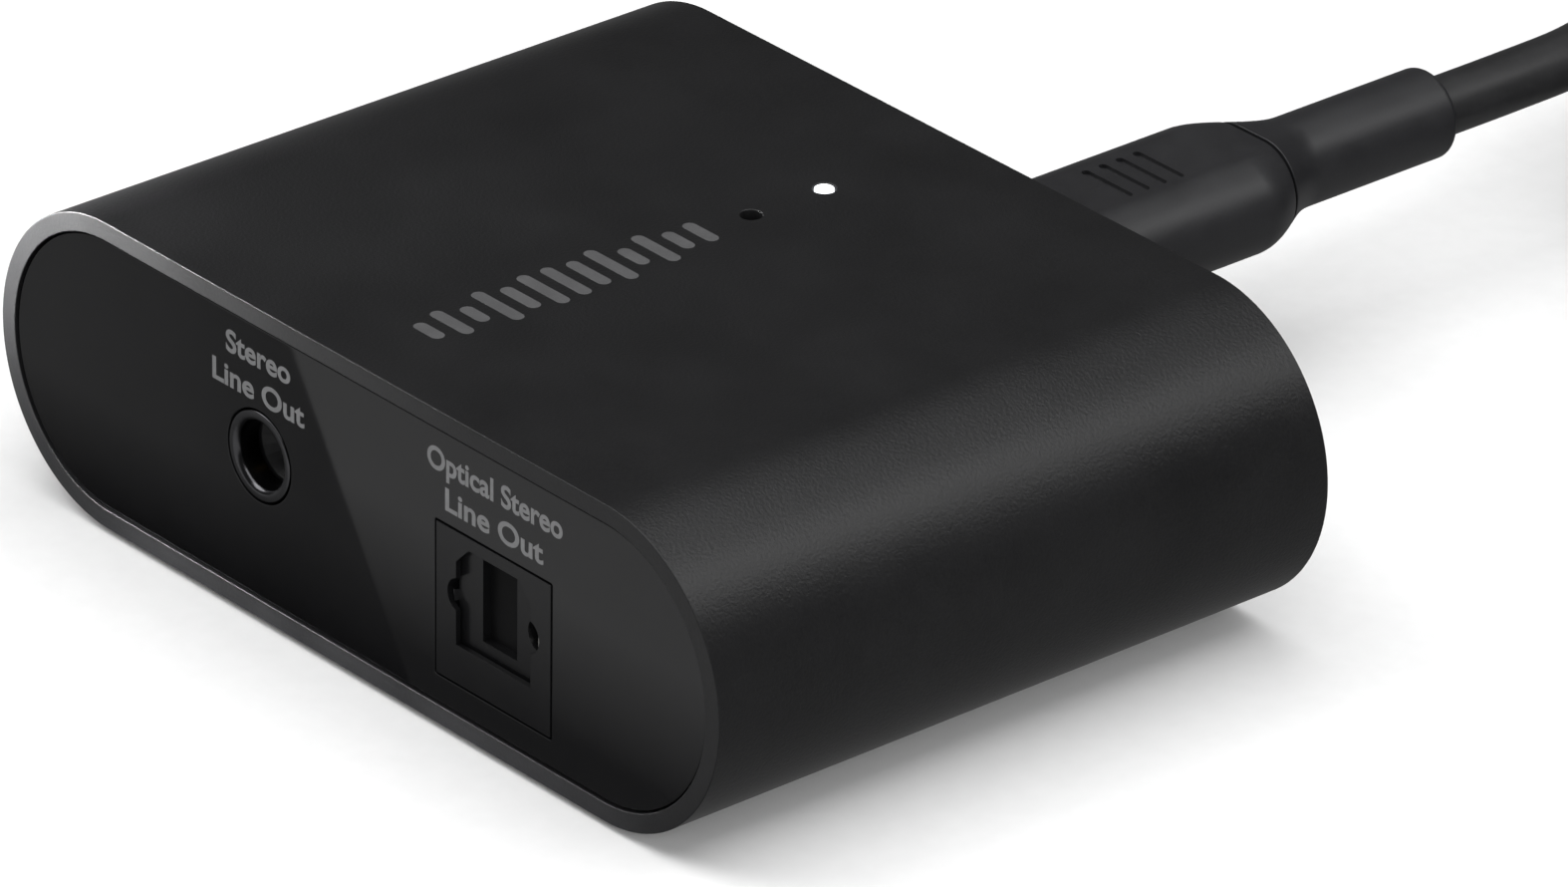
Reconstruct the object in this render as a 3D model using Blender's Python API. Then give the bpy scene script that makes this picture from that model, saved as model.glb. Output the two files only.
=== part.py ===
"""Bluetooth audio receiver: a flat round-ended box with a 3.5 mm jack, an optical output
and a USB-C power inlet, with its power lead plugged in.

Metres, +Z up. The origin is the bottom centre of the receiver, the ports face -Y,
the power lead leaves along +Y.
"""
import math

import bmesh
import bpy
from mathutils import Vector

MM = 0.001

# ---------------------------------------------------------------- fits
FIT = 0.30 * MM          # gap between pieces that meet
SNUG = 0.15 * MM         # gap round small seated pieces and in visible seams

# ---------------------------------------------------------------- housing
BODY_W = 81.6 * MM
BODY_D = 57.0 * MM
BODY_H = 25.0 * MM
WALL = 1.5 * MM
RIM_BEVEL = 0.2 * MM
FOOT_PROUD = 0.5 * MM    # how far the foot pad stands below the housing
FOOT_T = 0.85 * MM
FOOT_W = 52.0 * MM
FOOT_D = 44.0 * MM
FOOT_R = 9.0 * MM
PANEL_T = 2.0 * MM
PANEL_INSET = 0.2 * MM
COLLAR_WALL = 0.9 * MM   # guide collars under the roof
COLLAR_DROP = 1.6 * MM

# ---------------------------------------------------------------- tray and weight
TRAY_T = 1.5 * MM
TRAY_RISE = math.radians(70)   # how far the tray climbs the round ends
BOSS_R = 2.2 * MM
SCREW_SHANK_R = 0.9 * MM
SCREW_HEAD_R = 1.9 * MM
SCREW_HEAD_T = 0.6 * MM
PCB_SCREW_L = 7.0 * MM
BASE_SCREW_L = 5.6 * MM
BASE_SCREW_X = 20.0 * MM
BASE_BOSS_H = 3.6 * MM
HOOK_X = 25.2 * MM
HOOK_W = 5.0 * MM
HOOK_REACH = 5.0 * MM
HOOK_T = 1.3 * MM
HOOK_DROP = 1.2 * MM
WEIGHT_W = 33.0 * MM
WEIGHT_D = 24.0 * MM
WEIGHT_T = 2.5 * MM
WEIGHT_CORNER = 2.0 * MM
WEIGHT_Y = 4.0 * MM
WEIGHT_PEG_X = 11.0 * MM
WEIGHT_PEG_R = 1.5 * MM

# ---------------------------------------------------------------- circuit board
PCB_T = 1.2 * MM
PCB_CORNER = 3.0 * MM
PCB_FLOOR = 16.2 * MM    # from the housing's inner floor to the board's underside
PCB_SIDE_GAP = 6.3 * MM  # from the housing's side to the board's edge
PCB_HOLE_IN = 4.0 * MM   # from the board's edges to a screw hole

RADIO_AT = (19.0 * MM, 10.0 * MM)
RADIO_SIZE = (17.0 * MM, 13.0 * MM, 0.8 * MM)
SHIELD_SIZE = (11.0 * MM, 10.0 * MM, 1.4 * MM)
CHIPS = (                # name, x, y, width, depth, height in mm
    ("processor", -16.0, 4.0, 11.0, 11.0, 1.0),
    ("flash_chip", -16.0, 15.5, 8.0, 6.0, 0.8),
    ("audio_dac", -10.7, -12.5, 5.0, 5.0, 0.8),
    ("power_regulator", 9.0, 20.5, 3.0, 3.0, 0.8),
)
CRYSTAL_AT = (-25.5 * MM, 4.0 * MM)
CRYSTAL_SIZE = (2.5 * MM, 3.2 * MM, 0.7 * MM)
INDUCTOR_AT = (4.0 * MM, -6.0 * MM)
INDUCTOR_SIZE = (5.0 * MM, 5.0 * MM, 2.4 * MM)
CAN_X = 22.0 * MM
CAN_Y = -14.0 * MM
CAN_R = 2.5 * MM
CAN_H = 3.3 * MM
CAN_EDGE = 0.3 * MM
ANTENNA_AT = (30.5 * MM, -2.0 * MM)
ANTENNA_L = 14.0 * MM
ANTENNA_W = 4.0 * MM
ANTENNA_H = 1.8 * MM
ANTENNA_T = 0.3 * MM

# ---------------------------------------------------------------- analogue jack
JACK_X = -10.7 * MM
JACK_Z = 13.5 * MM
JACK_BORE_R = 1.8 * MM
JACK_NOSE_R = 3.5 * MM
JACK_MOUTH_R = 3.1 * MM
JACK_THROAT_R = 2.6 * MM
JACK_MOUTH_DEPTH = 0.5 * MM
JACK_W = 7.6 * MM
JACK_L = 13.2 * MM
JACK_CORNER = 0.6 * MM
JACK_BORE_L = 11.6 * MM
JACK_UNDER = 3.6 * MM    # from the bore's axis to the body's underside
CONTACT_W = 1.2 * MM
CONTACT_T = 0.3 * MM
CONTACT_L = 2.2 * MM
CONTACT_RISE = 0.6 * MM    # from a contact's crown up to its knees
CONTACT_CROWN_T = 0.42 * MM  # thickness over the crown, across the bend
CONTACT_PITCH = 3.6 * MM
CONTACT_BITE = 0.35 * MM  # how far a contact's crown reaches into the bore

# ---------------------------------------------------------------- optical output
OPT_X = 15.85 * MM
OPT_FACE_W = 12.7 * MM
OPT_FACE_H = 12.1 * MM
OPT_FACE_Z = 10.5 * MM
OPENING_W = 8.3 * MM
OPENING_H = 8.05 * MM
OPENING_Z = 11.53 * MM
OPENING_CHAMFER = 1.4 * MM
LIP_T = 0.45 * MM
NOTCH_R = 1.35 * MM
NOTCH_OUT = 3.75 * MM
NOTCH_DEPTH = 2.4 * MM
DOOR_LAP = 0.4 * MM      # how far the door reaches behind the lip
DOOR_GAP = 0.2 * MM
DOOR_T = 1.1 * MM
DOOR_HINGE_DOWN = 0.15 * MM  # from the top of the opening to the hinge axis
CHANNEL_W = 3.8 * MM
CHANNEL_DEPTH = 0.75 * MM
CHANNEL_FOOT = 1.0 * MM  # web left under the channel
TRUNNION_R = 0.3 * MM
TRUNNION_L = 0.9 * MM
SPRING_ROOM = 1.9 * MM
SPRING_R = 0.5 * MM
SPRING_WIRE_R = 0.09 * MM
SPRING_TURNS = 4
CAVITY_SPARE = 0.5 * MM
OPT_BACK_T = 2.2 * MM
OPT_ROOF_T = 0.6 * MM
NOSE_ROOF_T = 0.35 * MM
EMITTER_NOSE_R = 1.6 * MM
EMITTER_W = 7.0 * MM
EMITTER_T = 3.2 * MM
LEAD_T = 0.5 * MM
LEAD_PITCH = 2.54 * MM

# ---------------------------------------------------------------- status light and reset
LIGHT_Y = 15.65 * MM
LIGHT_R = 0.75 * MM
LIGHT_BODY_R = 1.5 * MM
LED_SIZE = (1.6 * MM, 0.8 * MM, 0.6 * MM)
RESET_Y = 8.7 * MM
PINHOLE_R = 0.85 * MM
PLUNGER_HEAD_R = 1.6 * MM
PLUNGER_HEAD_T = 0.6 * MM
PLUNGER_STEM_R = 0.9 * MM
PLUNGER_DOWN = 0.6 * MM  # from the roof to the plunger's head
RESET_TRAVEL = 0.25 * MM
SWITCH_SIZE = (4.5 * MM, 4.5 * MM, 1.5 * MM)

# ---------------------------------------------------------------- USB-C inlet and plug
USB_Z = 13.4 * MM
INLET_W = 9.5 * MM
INLET_H = 3.7 * MM
INLET_WALL = 0.3 * MM
INLET_L = 7.3 * MM
INLET_IN = 0.5 * MM      # from the back of the housing to the inlet's mouth
TONGUE_W = 6.7 * MM
TONGUE_T = 0.7 * MM
TONGUE_L = 6.5 * MM
INLET_BLOCK_L = 2.2 * MM
PLUG_SHELL_W = 8.3 * MM
PLUG_SHELL_H = 2.5 * MM
PLUG_SHELL_L = 6.6 * MM
PLUG_SHELL_WALL = 0.35 * MM
PLUG_W = 13.8 * MM
PLUG_H = 7.9 * MM
PLUG_L = 25.2 * MM
PLUG_EDGE = 0.5 * MM
SHOULDER_L = 8.0 * MM
SEAM_AT = 3.7 * MM       # from the start of the shoulder to the seam of the two mouldings
RELIEF_R = 3.6 * MM
RELIEF_L = 14.0 * MM
RELIEF_EDGE = 0.6 * MM

# ---------------------------------------------------------------- power cord
CORD_R = 2.375 * MM
COIL_R = 27.0 * MM       # middle of the turns
COIL_ROWS = 3            # turns beside and on each other
COIL_X = 26.0 * MM
COIL_Y = 122.0 * MM
TIE_W = 9.0 * MM
TIE_T = 0.9 * MM
TIE_CLEAR = 0.1 * MM     # under the tie
CORD_LEAD = (             # from the relief's end to the coil
    (0.0, 76.3 * MM, 13.4 * MM),
    (0.0, 84.0 * MM, 13.4 * MM),
    (-0.3 * MM, 91.0 * MM, 13.35 * MM),
    (-1.6 * MM, 96.0 * MM, 13.3 * MM),
    (-3.9 * MM, 100.4 * MM, 13.25 * MM),
)
CORD_TAIL = (             # from the coil to the USB-A plug
    (57.8 * MM, 103.2 * MM, 3.8 * MM),
    (58.0 * MM, 99.0 * MM, 3.9 * MM),
    (58.0 * MM, 94.3 * MM, 4.0 * MM),
)
CORD_STEP = 2.4           # diameters between the cord's points

# ---------------------------------------------------------------- USB-A plug
USBA_RELIEF_L = 8.0 * MM
USBA_W = 15.6 * MM
USBA_H = 7.8 * MM
USBA_L = 14.0 * MM
USBA_SHELL_W = 12.0 * MM
USBA_SHELL_H = 4.5 * MM
USBA_SHELL_L = 12.0 * MM
USBA_SHELL_WALL = 0.35 * MM
USBA_TONGUE_T = 1.6 * MM

# ---------------------------------------------------------------- round-off
ROUND_STEPS = 20          # sides of a small round piece
SMALL_STEPS = 12          # sides of a screw or a trunnion
NOSE_STEPS = 28           # sides of the jack's nose
COIL_STEPS = 30           # steps round the cord's coil
END_STEPS = 10            # steps in a quarter of the housing's round end

# ---------------------------------------------------------------- worked out from the above
FLOOR_Z = FOOT_PROUD + WALL
ROOF_Z = FOOT_PROUD + BODY_H - WALL
TOP_Z = FOOT_PROUD + BODY_H
MID_Z = FOOT_PROUD + BODY_H / 2
PORT_Y = -BODY_D / 2 + PANEL_INSET
FRONT_IN_Y = PORT_Y + PANEL_T + FIT
BACK_Y = BODY_D / 2 - PANEL_INSET
BACK_IN_Y = BACK_Y - PANEL_T - FIT
TRAY_Z = FLOOR_Z + FIT
TRAY_TOP = TRAY_Z + TRAY_T
PCB_Z = FLOOR_Z + PCB_FLOOR
PCB_TOP = PCB_Z + PCB_T
PCB_W = BODY_W - 2 * PCB_SIDE_GAP
PCB_FRONT = FRONT_IN_Y + FIT
PCB_REAR = BACK_IN_Y - FIT
SCREW_BORE_R = SCREW_SHANK_R + FIT
OPENING_TOP = OPENING_Z + OPENING_H / 2
OPENING_FLOOR = OPENING_Z - OPENING_H / 2
HINGE_Z = OPENING_TOP - DOOR_HINGE_DOWN
HINGE_Y = PORT_Y + LIP_T + DOOR_GAP + DOOR_T / 2
DOOR_W = OPENING_W + 2 * DOOR_LAP
DOOR_FOOT = OPENING_FLOOR - DOOR_LAP
CAVITY_W = DOOR_W + 2 * FIT
CAVITY_FLOOR = DOOR_FOOT - FIT
CAVITY_ROOF = PCB_Z - FIT - OPT_ROOF_T
CAVITY_BACK = HINGE_Y + (HINGE_Z - DOOR_FOOT) + CAVITY_SPARE
OPT_BACK = CAVITY_BACK + OPT_BACK_T
INLET_MOUTH = BODY_D / 2 - INLET_IN
INLET_REAR = INLET_MOUTH - INLET_L
PLUG_Y = BODY_D / 2 + FIT
SHOULDER_Y = PLUG_Y + PLUG_L
SEAM_Y = SHOULDER_Y + SEAM_AT
RELIEF_END = SHOULDER_Y + SHOULDER_L + RELIEF_L
COIL_FLOOR = TIE_CLEAR + TIE_T + FIT
COIL_BAND = COIL_ROWS * 2 * CORD_R
USBA_RELIEF_Y = CORD_TAIL[-1][1] - FIT
USBA_SHOULDER_Y = USBA_RELIEF_Y - USBA_RELIEF_L
USBA_FACE_Y = USBA_SHOULDER_Y - SHOULDER_L - USBA_L

# ================================================================ tools


def material(name, rgb, roughness, metallic=0.0):
    """A Principled BSDF of one colour, shared by the pieces moulded or made alike."""
    found = bpy.data.materials.get(name)
    if found:
        return found
    made = bpy.data.materials.new(name)
    made.use_nodes = True
    shader = made.node_tree.nodes["Principled BSDF"]
    shader.inputs["Base Color"].default_value = (*rgb, 1.0)
    shader.inputs["Roughness"].default_value = roughness
    shader.inputs["Metallic"].default_value = metallic
    made.diffuse_color = (*rgb, 1.0)
    return made


def black_matte():
    return material("matte_black_plastic", (0.022, 0.022, 0.023), 0.55)


def black_gloss():
    return material("gloss_black_plastic", (0.012, 0.012, 0.013), 0.1)


def inner_plastic():
    return material("grey_abs", (0.12, 0.12, 0.125), 0.6)


def soft_black():
    return material("soft_black_pvc", (0.028, 0.028, 0.029), 0.6)


def steel():
    return material("plated_steel", (0.55, 0.55, 0.56), 0.3, 1.0)


def contact_metal():
    return material("gold_plate", (0.8, 0.6, 0.25), 0.3, 1.0)


def board_green():
    return material("solder_mask", (0.015, 0.09, 0.04), 0.4)


def chip_black():
    return material("chip_epoxy", (0.02, 0.02, 0.02), 0.5)


def clear_plastic():
    return material("diffusing_acrylic", (0.9, 0.9, 0.92), 0.25)


def ferrite():
    return material("ferrite", (0.06, 0.06, 0.065), 0.7)


def can_metal():
    return material("capacitor_can", (0.6, 0.6, 0.62), 0.35, 1.0)


def rubber():
    return material("foot_rubber", (0.03, 0.03, 0.03), 0.8)


def arc(cx, cy, radius, start, end, steps):
    """Points on an arc, both ends included."""
    turn = [start + (end - start) * i / steps for i in range(steps + 1)]
    return [(cx + radius * math.cos(a), cy + radius * math.sin(a)) for a in turn]


def circle(radius, cx=0.0, cy=0.0, steps=ROUND_STEPS):
    return arc(cx, cy, radius, 0.0, 2 * math.pi, steps)[:-1]


def rounded(cx, cy, width, height, radius, steps=4):
    """Outline of a rectangle with round corners; a stadium when radius is half the height."""
    points = []
    for quarter, (sx, sy) in enumerate(((1, 1), (-1, 1), (-1, -1), (1, -1))):
        start = quarter * math.pi / 2
        ox = cx + sx * (width / 2 - radius)
        oy = cy + sy * (height / 2 - radius)
        points += arc(ox, oy, radius, start, start + math.pi / 2, steps)
    gap = 1e-7
    return [p for i, p in enumerate(points) if math.dist(p, points[i - 1]) > gap]


def stadium(width, height, cz, steps=END_STEPS):
    return rounded(0.0, cz, width, height, height / 2, steps)


def ring(outline, axis, at):
    """A flat outline stood across an axis, at a place along it."""
    if axis == "X":
        return [(at, u, v) for u, v in outline]
    if axis == "Y":
        return [(u, at, v) for u, v in outline]
    return [(u, v, at) for u, v in outline]


def loft(rings, closed=False):
    """A closed skin through rings of equal count, capped unless the last ring meets the first."""
    bm = bmesh.new()
    loops = [[bm.verts.new(p) for p in points] for points in rings]
    pairs = list(zip(loops, loops[1:]))
    if closed:
        pairs.append((loops[-1], loops[0]))
    else:
        bm.faces.new(loops[0])
        bm.faces.new(loops[-1])
    for a, b in pairs:
        for i in range(len(a)):
            j = (i + 1) % len(a)
            bm.faces.new((a[i], a[j], b[j], b[i]))
    bmesh.ops.recalc_face_normals(bm, faces=bm.faces)
    return bm


def prism(outline, axis, low, high):
    return loft([ring(outline, axis, low), ring(outline, axis, high)])


def block(x, y, z):
    """A box from (low, high) pairs."""
    outline = ((x[0], y[0]), (x[1], y[0]), (x[1], y[1]), (x[0], y[1]))
    return prism(outline, "Z", z[0], z[1])


def about(centre, size):
    """The (low, high) pair of a size about its centre."""
    return (centre - size / 2, centre + size / 2)


def turned(profile, axis, cx, cy, closed=False, steps=ROUND_STEPS):
    """A profile of (radius, place along the axis) turned about the axis through (cx, cy)."""
    return loft([ring(circle(r, cx, cy, steps), axis, t) for r, t in profile], closed)


def tube(outer, inner, axis, low, high):
    rings = ((outer, low), (outer, high), (inner, high), (inner, low))
    return loft([ring(outline, axis, at) for outline, at in rings], closed=True)


def sub_part(name, bm, finish, origin=(0.0, 0.0, 0.0), parent=None):
    """Turns a mesh in world places into a named object whose origin is where it is asked for."""
    origin = Vector(origin)
    bmesh.ops.translate(bm, verts=bm.verts, vec=-origin)
    mesh = bpy.data.meshes.new(name)
    bm.to_mesh(mesh)
    bm.free()
    mesh.shade_smooth()
    mesh.set_sharp_from_angle(angle=math.radians(35))
    mesh.materials.append(finish)
    obj = bpy.data.objects.new(name, mesh)
    bpy.context.scene.collection.objects.link(obj)
    return settle(obj, origin, parent)


def settle(obj, origin, parent):
    """Places an object, under its parent empty where it has one."""
    obj.location = origin
    if parent:
        obj.location = origin - parent.location
        obj.parent = parent
    return obj


def empty(name, origin):
    marker = bpy.data.objects.new(name, None)
    marker.location = origin
    bpy.context.scene.collection.objects.link(marker)
    return marker


def shape_with(obj, tools, operation):
    """Cuts or joins tool meshes, kept as hidden wire objects."""
    for bm in tools:
        name = f"{operation.lower()}_{obj.name}_{len(obj.modifiers) + 1}"
        mesh = bpy.data.meshes.new(name)
        bm.to_mesh(mesh)
        bm.free()
        tool = bpy.data.objects.new(name, mesh)
        tool.hide_render = True
        tool.display_type = "WIRE"
        bpy.context.scene.collection.objects.link(tool)
        change = obj.modifiers.new(name, "BOOLEAN")
        change.operation = operation
        change.solver = "EXACT"
        change.object = tool
    return obj


def cut(obj, *tools):
    return shape_with(obj, tools, "DIFFERENCE")


def join(obj, *tools):
    return shape_with(obj, tools, "UNION")


def smooth_route(points, step):
    """Points a step apart on a Catmull-Rom curve through the route's own points."""
    route = [Vector(p) for p in points]
    ends = [2 * route[0] - route[1]] + route + [2 * route[-1] - route[-2]]
    fine = []
    parts = 24
    for a, b, c, d in zip(ends, ends[1:], ends[2:], ends[3:]):
        for i in range(parts):
            t = i / parts
            bend = (2 * a - 5 * b + 4 * c - d) * t * t + (3 * b - a - 3 * c + d) * t ** 3
            fine.append((2 * b + (c - a) * t + bend) / 2)
    fine.append(route[-1])
    total = sum((q - p).length for p, q in zip(fine, fine[1:]))
    count = max(2, round(total / step))
    spaced = [fine[0]]
    run = 0.0
    for p, q in zip(fine, fine[1:]):
        run += (q - p).length
        if run >= total * len(spaced) / count and len(spaced) < count:
            spaced.append(q)
    return spaced + [fine[-1]]


def wire(name, points, radius, finish, sides, parent=None):
    """A round wire or cord through points, with closed ends."""
    curve = bpy.data.curves.new(name, "CURVE")
    curve.dimensions = "3D"
    curve.bevel_depth = radius
    curve.bevel_resolution = sides
    curve.use_fill_caps = True
    spline = curve.splines.new("POLY")
    spline.points.add(len(points) - 1)
    origin = Vector(points[0])
    for place, point in zip(spline.points, points):
        place.co = (*(Vector(point) - origin), 1.0)
    spline.use_smooth = True
    curve.materials.append(finish)
    obj = bpy.data.objects.new(name, curve)
    bpy.context.scene.collection.objects.link(obj)
    return settle(obj, origin, parent)


# ================================================================ housing


def collar(y, inner_r):
    """A guide collar under the roof, sunk into it so that the two join."""
    sink = WALL / 2
    low = ROOF_Z - COLLAR_DROP
    high = ROOF_Z + sink
    return tube(circle(inner_r + COLLAR_WALL, 0.0, y), circle(inner_r, 0.0, y), "Z", low, high)


def housing_shell():
    outer = stadium(BODY_W, BODY_H, MID_Z)
    inner = stadium(BODY_W - 2 * WALL, BODY_H - 2 * WALL, MID_Z)
    shell = sub_part("housing_shell", tube(outer, inner, "Y", -BODY_D / 2, BODY_D / 2), black_matte())
    rim = shell.modifiers.new("rim_bevel", "BEVEL")
    rim.width = RIM_BEVEL
    rim.segments = 1
    rim.limit_method = "ANGLE"
    rim.angle_limit = math.radians(60)
    join(shell, collar(LIGHT_Y, LIGHT_BODY_R + FIT), collar(RESET_Y, PLUNGER_HEAD_R + FIT))
    through = (ROOF_Z - WALL, TOP_Z + WALL)
    foot = rounded(0.0, 0.0, FOOT_W + 2 * SNUG, FOOT_D + 2 * SNUG, FOOT_R, 6)
    recess_top = FOOT_T + SNUG
    cut(
        shell,
        prism(circle(LIGHT_R + SNUG, 0.0, LIGHT_Y), "Z", *through),
        prism(circle(PINHOLE_R, 0.0, RESET_Y), "Z", *through),
        prism(foot, "Z", -FOOT_PROUD, recess_top),
    )
    for x in (-BASE_SCREW_X, BASE_SCREW_X):
        cut(shell, prism(circle(SCREW_BORE_R, x, 0.0), "Z", 0.0, FLOOR_Z + WALL))
    return shell


def foot_pad():
    pad = prism(rounded(0.0, 0.0, FOOT_W, FOOT_D, FOOT_R, 6), "Z", 0.0, FOOT_T)
    pad = sub_part("foot_pad", pad, rubber())
    for x in (-BASE_SCREW_X, BASE_SCREW_X):
        cut(pad, prism(circle(SCREW_HEAD_R + FIT, x, 0.0), "Z", -FOOT_T, 2 * FOOT_T))
    return pad


def panel_hook(x, outer_y, inward):
    """A clip arm behind a panel, with a tooth that drops into the tray's window."""
    root = outer_y + inward * PANEL_T / 2
    tip = outer_y + inward * (PANEL_T + HOOK_REACH)
    tooth = tip - inward * HOOK_T
    low = TRAY_TOP + FIT
    arm = block(about(x, HOOK_W), sorted((root, tip)), (low, low + HOOK_T))
    drop = block(about(x, HOOK_W), sorted((tooth, tip)), (low - HOOK_DROP, low + HOOK_T / 2))
    return arm, drop


def hook_window(x, outer_y, inward):
    """The window that a panel's tooth drops into."""
    tip = outer_y + inward * (PANEL_T + HOOK_REACH + FIT)
    tooth = tip - inward * (HOOK_T + 2 * FIT)
    through = (TRAY_Z - TRAY_T, TRAY_TOP + TRAY_T)
    return block(about(x, HOOK_W + 2 * FIT), sorted((tooth, tip)), through)


def panel(name, outer_y, inward, finish):
    outline = stadium(BODY_W - 2 * WALL - 2 * SNUG, BODY_H - 2 * WALL - 2 * SNUG, MID_Z)
    low, high = sorted((outer_y, outer_y + inward * PANEL_T))
    plate = sub_part(name, prism(outline, "Y", low, high), finish)
    for x in (-HOOK_X, HOOK_X):
        join(plate, *panel_hook(x, outer_y, inward))
    return plate


def front_panel():
    plate = panel("front_panel", PORT_Y, 1, black_gloss())
    through = (PORT_Y - PANEL_T, FRONT_IN_Y + PANEL_T)
    window = rounded(OPT_X, OPT_FACE_Z, OPT_FACE_W + 2 * SNUG, OPT_FACE_H + 2 * SNUG, SNUG, 1)
    cut(
        plate,
        prism(circle(JACK_NOSE_R + SNUG, JACK_X, JACK_Z), "Y", *through),
        prism(window, "Y", *through),
    )
    return plate


def rear_panel():
    plate = panel("rear_panel", BACK_Y, -1, black_matte())
    slot = stadium(INLET_W + 2 * FIT, INLET_H + 2 * FIT, USB_Z, 6)
    cut(plate, prism(slot, "Y", BACK_IN_Y - PANEL_T, BACK_Y + PANEL_T))
    return plate


# ================================================================ tray, weight and screws


def pcb_holes():
    """Places of the board's four screws."""
    x = PCB_W / 2 - PCB_HOLE_IN
    front = PCB_FRONT + PCB_HOLE_IN
    rear = PCB_REAR - PCB_HOLE_IN
    return ((-x, front), (x, front), (x, rear), (-x, rear))


def tray_section(y_low, y_high):
    """Four-point rings that climb one round end, cross the floor and climb the other end."""
    centre_x = BODY_W / 2 - BODY_H / 2
    outer_r = BODY_H / 2 - WALL - FIT
    down = -math.pi / 2
    steps = 6
    rings = []
    for side, start, end in ((1, down + TRAY_RISE, down), (-1, down, down - TRAY_RISE)):
        outside = arc(side * centre_x, MID_Z, outer_r, start, end, steps)
        inside = arc(side * centre_x, MID_Z, outer_r - TRAY_T, start, end, steps)
        for (ox, oz), (ix, iz) in zip(outside, inside):
            rings.append(((ox, y_low, oz), (ox, y_high, oz), (ix, y_high, iz), (ix, y_low, iz)))
    return rings


def tray_underside(x):
    """Height of the tray's outer surface at a distance from the middle."""
    outer_r = BODY_H / 2 - WALL - FIT
    beyond = max(0.0, abs(x) - (BODY_W / 2 - BODY_H / 2))
    return MID_Z - math.sqrt(outer_r ** 2 - beyond ** 2)


def chassis_tray():
    tray = sub_part("chassis_tray", loft(tray_section(FRONT_IN_Y, BACK_IN_Y)), inner_plastic())
    sink = TRAY_TOP - TRAY_T / 2
    for x, y in pcb_holes():
        foot = tray_underside(abs(x) + BOSS_R) + TRAY_T / 3
        join(tray, prism(circle(BOSS_R, x, y), "Z", foot, PCB_Z - FIT))
    for x in (-BASE_SCREW_X, BASE_SCREW_X):
        join(tray, prism(circle(BOSS_R, x, 0.0), "Z", sink, TRAY_TOP + BASE_BOSS_H))
    for x in (-WEIGHT_PEG_X, WEIGHT_PEG_X):
        join(tray, prism(circle(WEIGHT_PEG_R, x, WEIGHT_Y), "Z", sink, TRAY_TOP + FIT + WEIGHT_T))
    for x, y in pcb_holes():
        bore_floor = PCB_TOP - PCB_SCREW_L - FIT
        cut(tray, prism(circle(SCREW_BORE_R, x, y), "Z", bore_floor, PCB_Z + PCB_T))
    for x in (-BASE_SCREW_X, BASE_SCREW_X):
        bore_top = FOOT_T + SNUG + BASE_SCREW_L + FIT
        cut(tray, prism(circle(SCREW_BORE_R, x, 0.0), "Z", FLOOR_Z - FIT, bore_top))
    for x in (-HOOK_X, HOOK_X):
        cut(tray, hook_window(x, PORT_Y, 1), hook_window(x, BACK_Y, -1))
    return tray


def base_weight():
    low = TRAY_TOP + FIT
    outline = rounded(0.0, WEIGHT_Y, WEIGHT_W, WEIGHT_D, WEIGHT_CORNER)
    weight = sub_part("base_weight", prism(outline, "Z", low, low + WEIGHT_T), steel())
    for x in (-WEIGHT_PEG_X, WEIGHT_PEG_X):
        hole = circle(WEIGHT_PEG_R + FIT, x, WEIGHT_Y)
        cut(weight, prism(hole, "Z", low - WEIGHT_T, low + 2 * WEIGHT_T))
    return weight


def screw(name, x, y, seat_z, length, upward):
    """A flat-headed screw with a hexagon socket; its shank runs away from the seat."""
    socket_r = SCREW_HEAD_R / 2
    socket_t = SCREW_HEAD_T / 2
    head = seat_z - upward * SCREW_HEAD_T
    tip = seat_z + upward * length
    rings = [
        ring(circle(SCREW_SHANK_R / 2, x, y, SMALL_STEPS), "Z", tip),
        ring(circle(SCREW_SHANK_R, x, y, SMALL_STEPS), "Z", tip - upward * SCREW_SHANK_R),
        ring(circle(SCREW_SHANK_R, x, y, SMALL_STEPS), "Z", seat_z),
        ring(circle(SCREW_HEAD_R, x, y, SMALL_STEPS), "Z", seat_z),
        ring(circle(SCREW_HEAD_R, x, y, SMALL_STEPS), "Z", head),
        ring(circle(socket_r, x, y, SMALL_STEPS), "Z", head),
        ring(circle(socket_r, x, y, SMALL_STEPS), "Z", head + upward * socket_t),
    ]
    return sub_part(name, loft(rings), steel(), origin=(x, y, seat_z))


def screws():
    for number, (x, y) in enumerate(pcb_holes(), 1):
        screw(f"pcb_screw_{number}", x, y, PCB_TOP + SNUG, PCB_SCREW_L - SNUG, -1)
    for number, x in enumerate((-BASE_SCREW_X, BASE_SCREW_X), 1):
        screw(f"base_screw_{number}", x, 0.0, FOOT_T, BASE_SCREW_L, 1)


# ================================================================ circuit board


def main_pcb():
    middle = (PCB_FRONT + PCB_REAR) / 2
    outline = rounded(0.0, middle, PCB_W, PCB_REAR - PCB_FRONT, PCB_CORNER)
    board = sub_part("main_pcb", prism(outline, "Z", PCB_Z, PCB_TOP), board_green())
    for x, y in pcb_holes():
        cut(board, prism(circle(SCREW_BORE_R, x, y), "Z", PCB_Z - PCB_T, PCB_TOP + PCB_T))
    return board


def board_piece(name, x, y, size, finish, base=None):
    """A flat piece seated on the board's top with softened upright edges."""
    low = (PCB_TOP if base is None else base) + SNUG
    width, depth, height = size
    outline = rounded(x, y, width, depth, min(width, depth) / 12, 2)
    return sub_part(name, prism(outline, "Z", low, low + height), finish)


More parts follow.
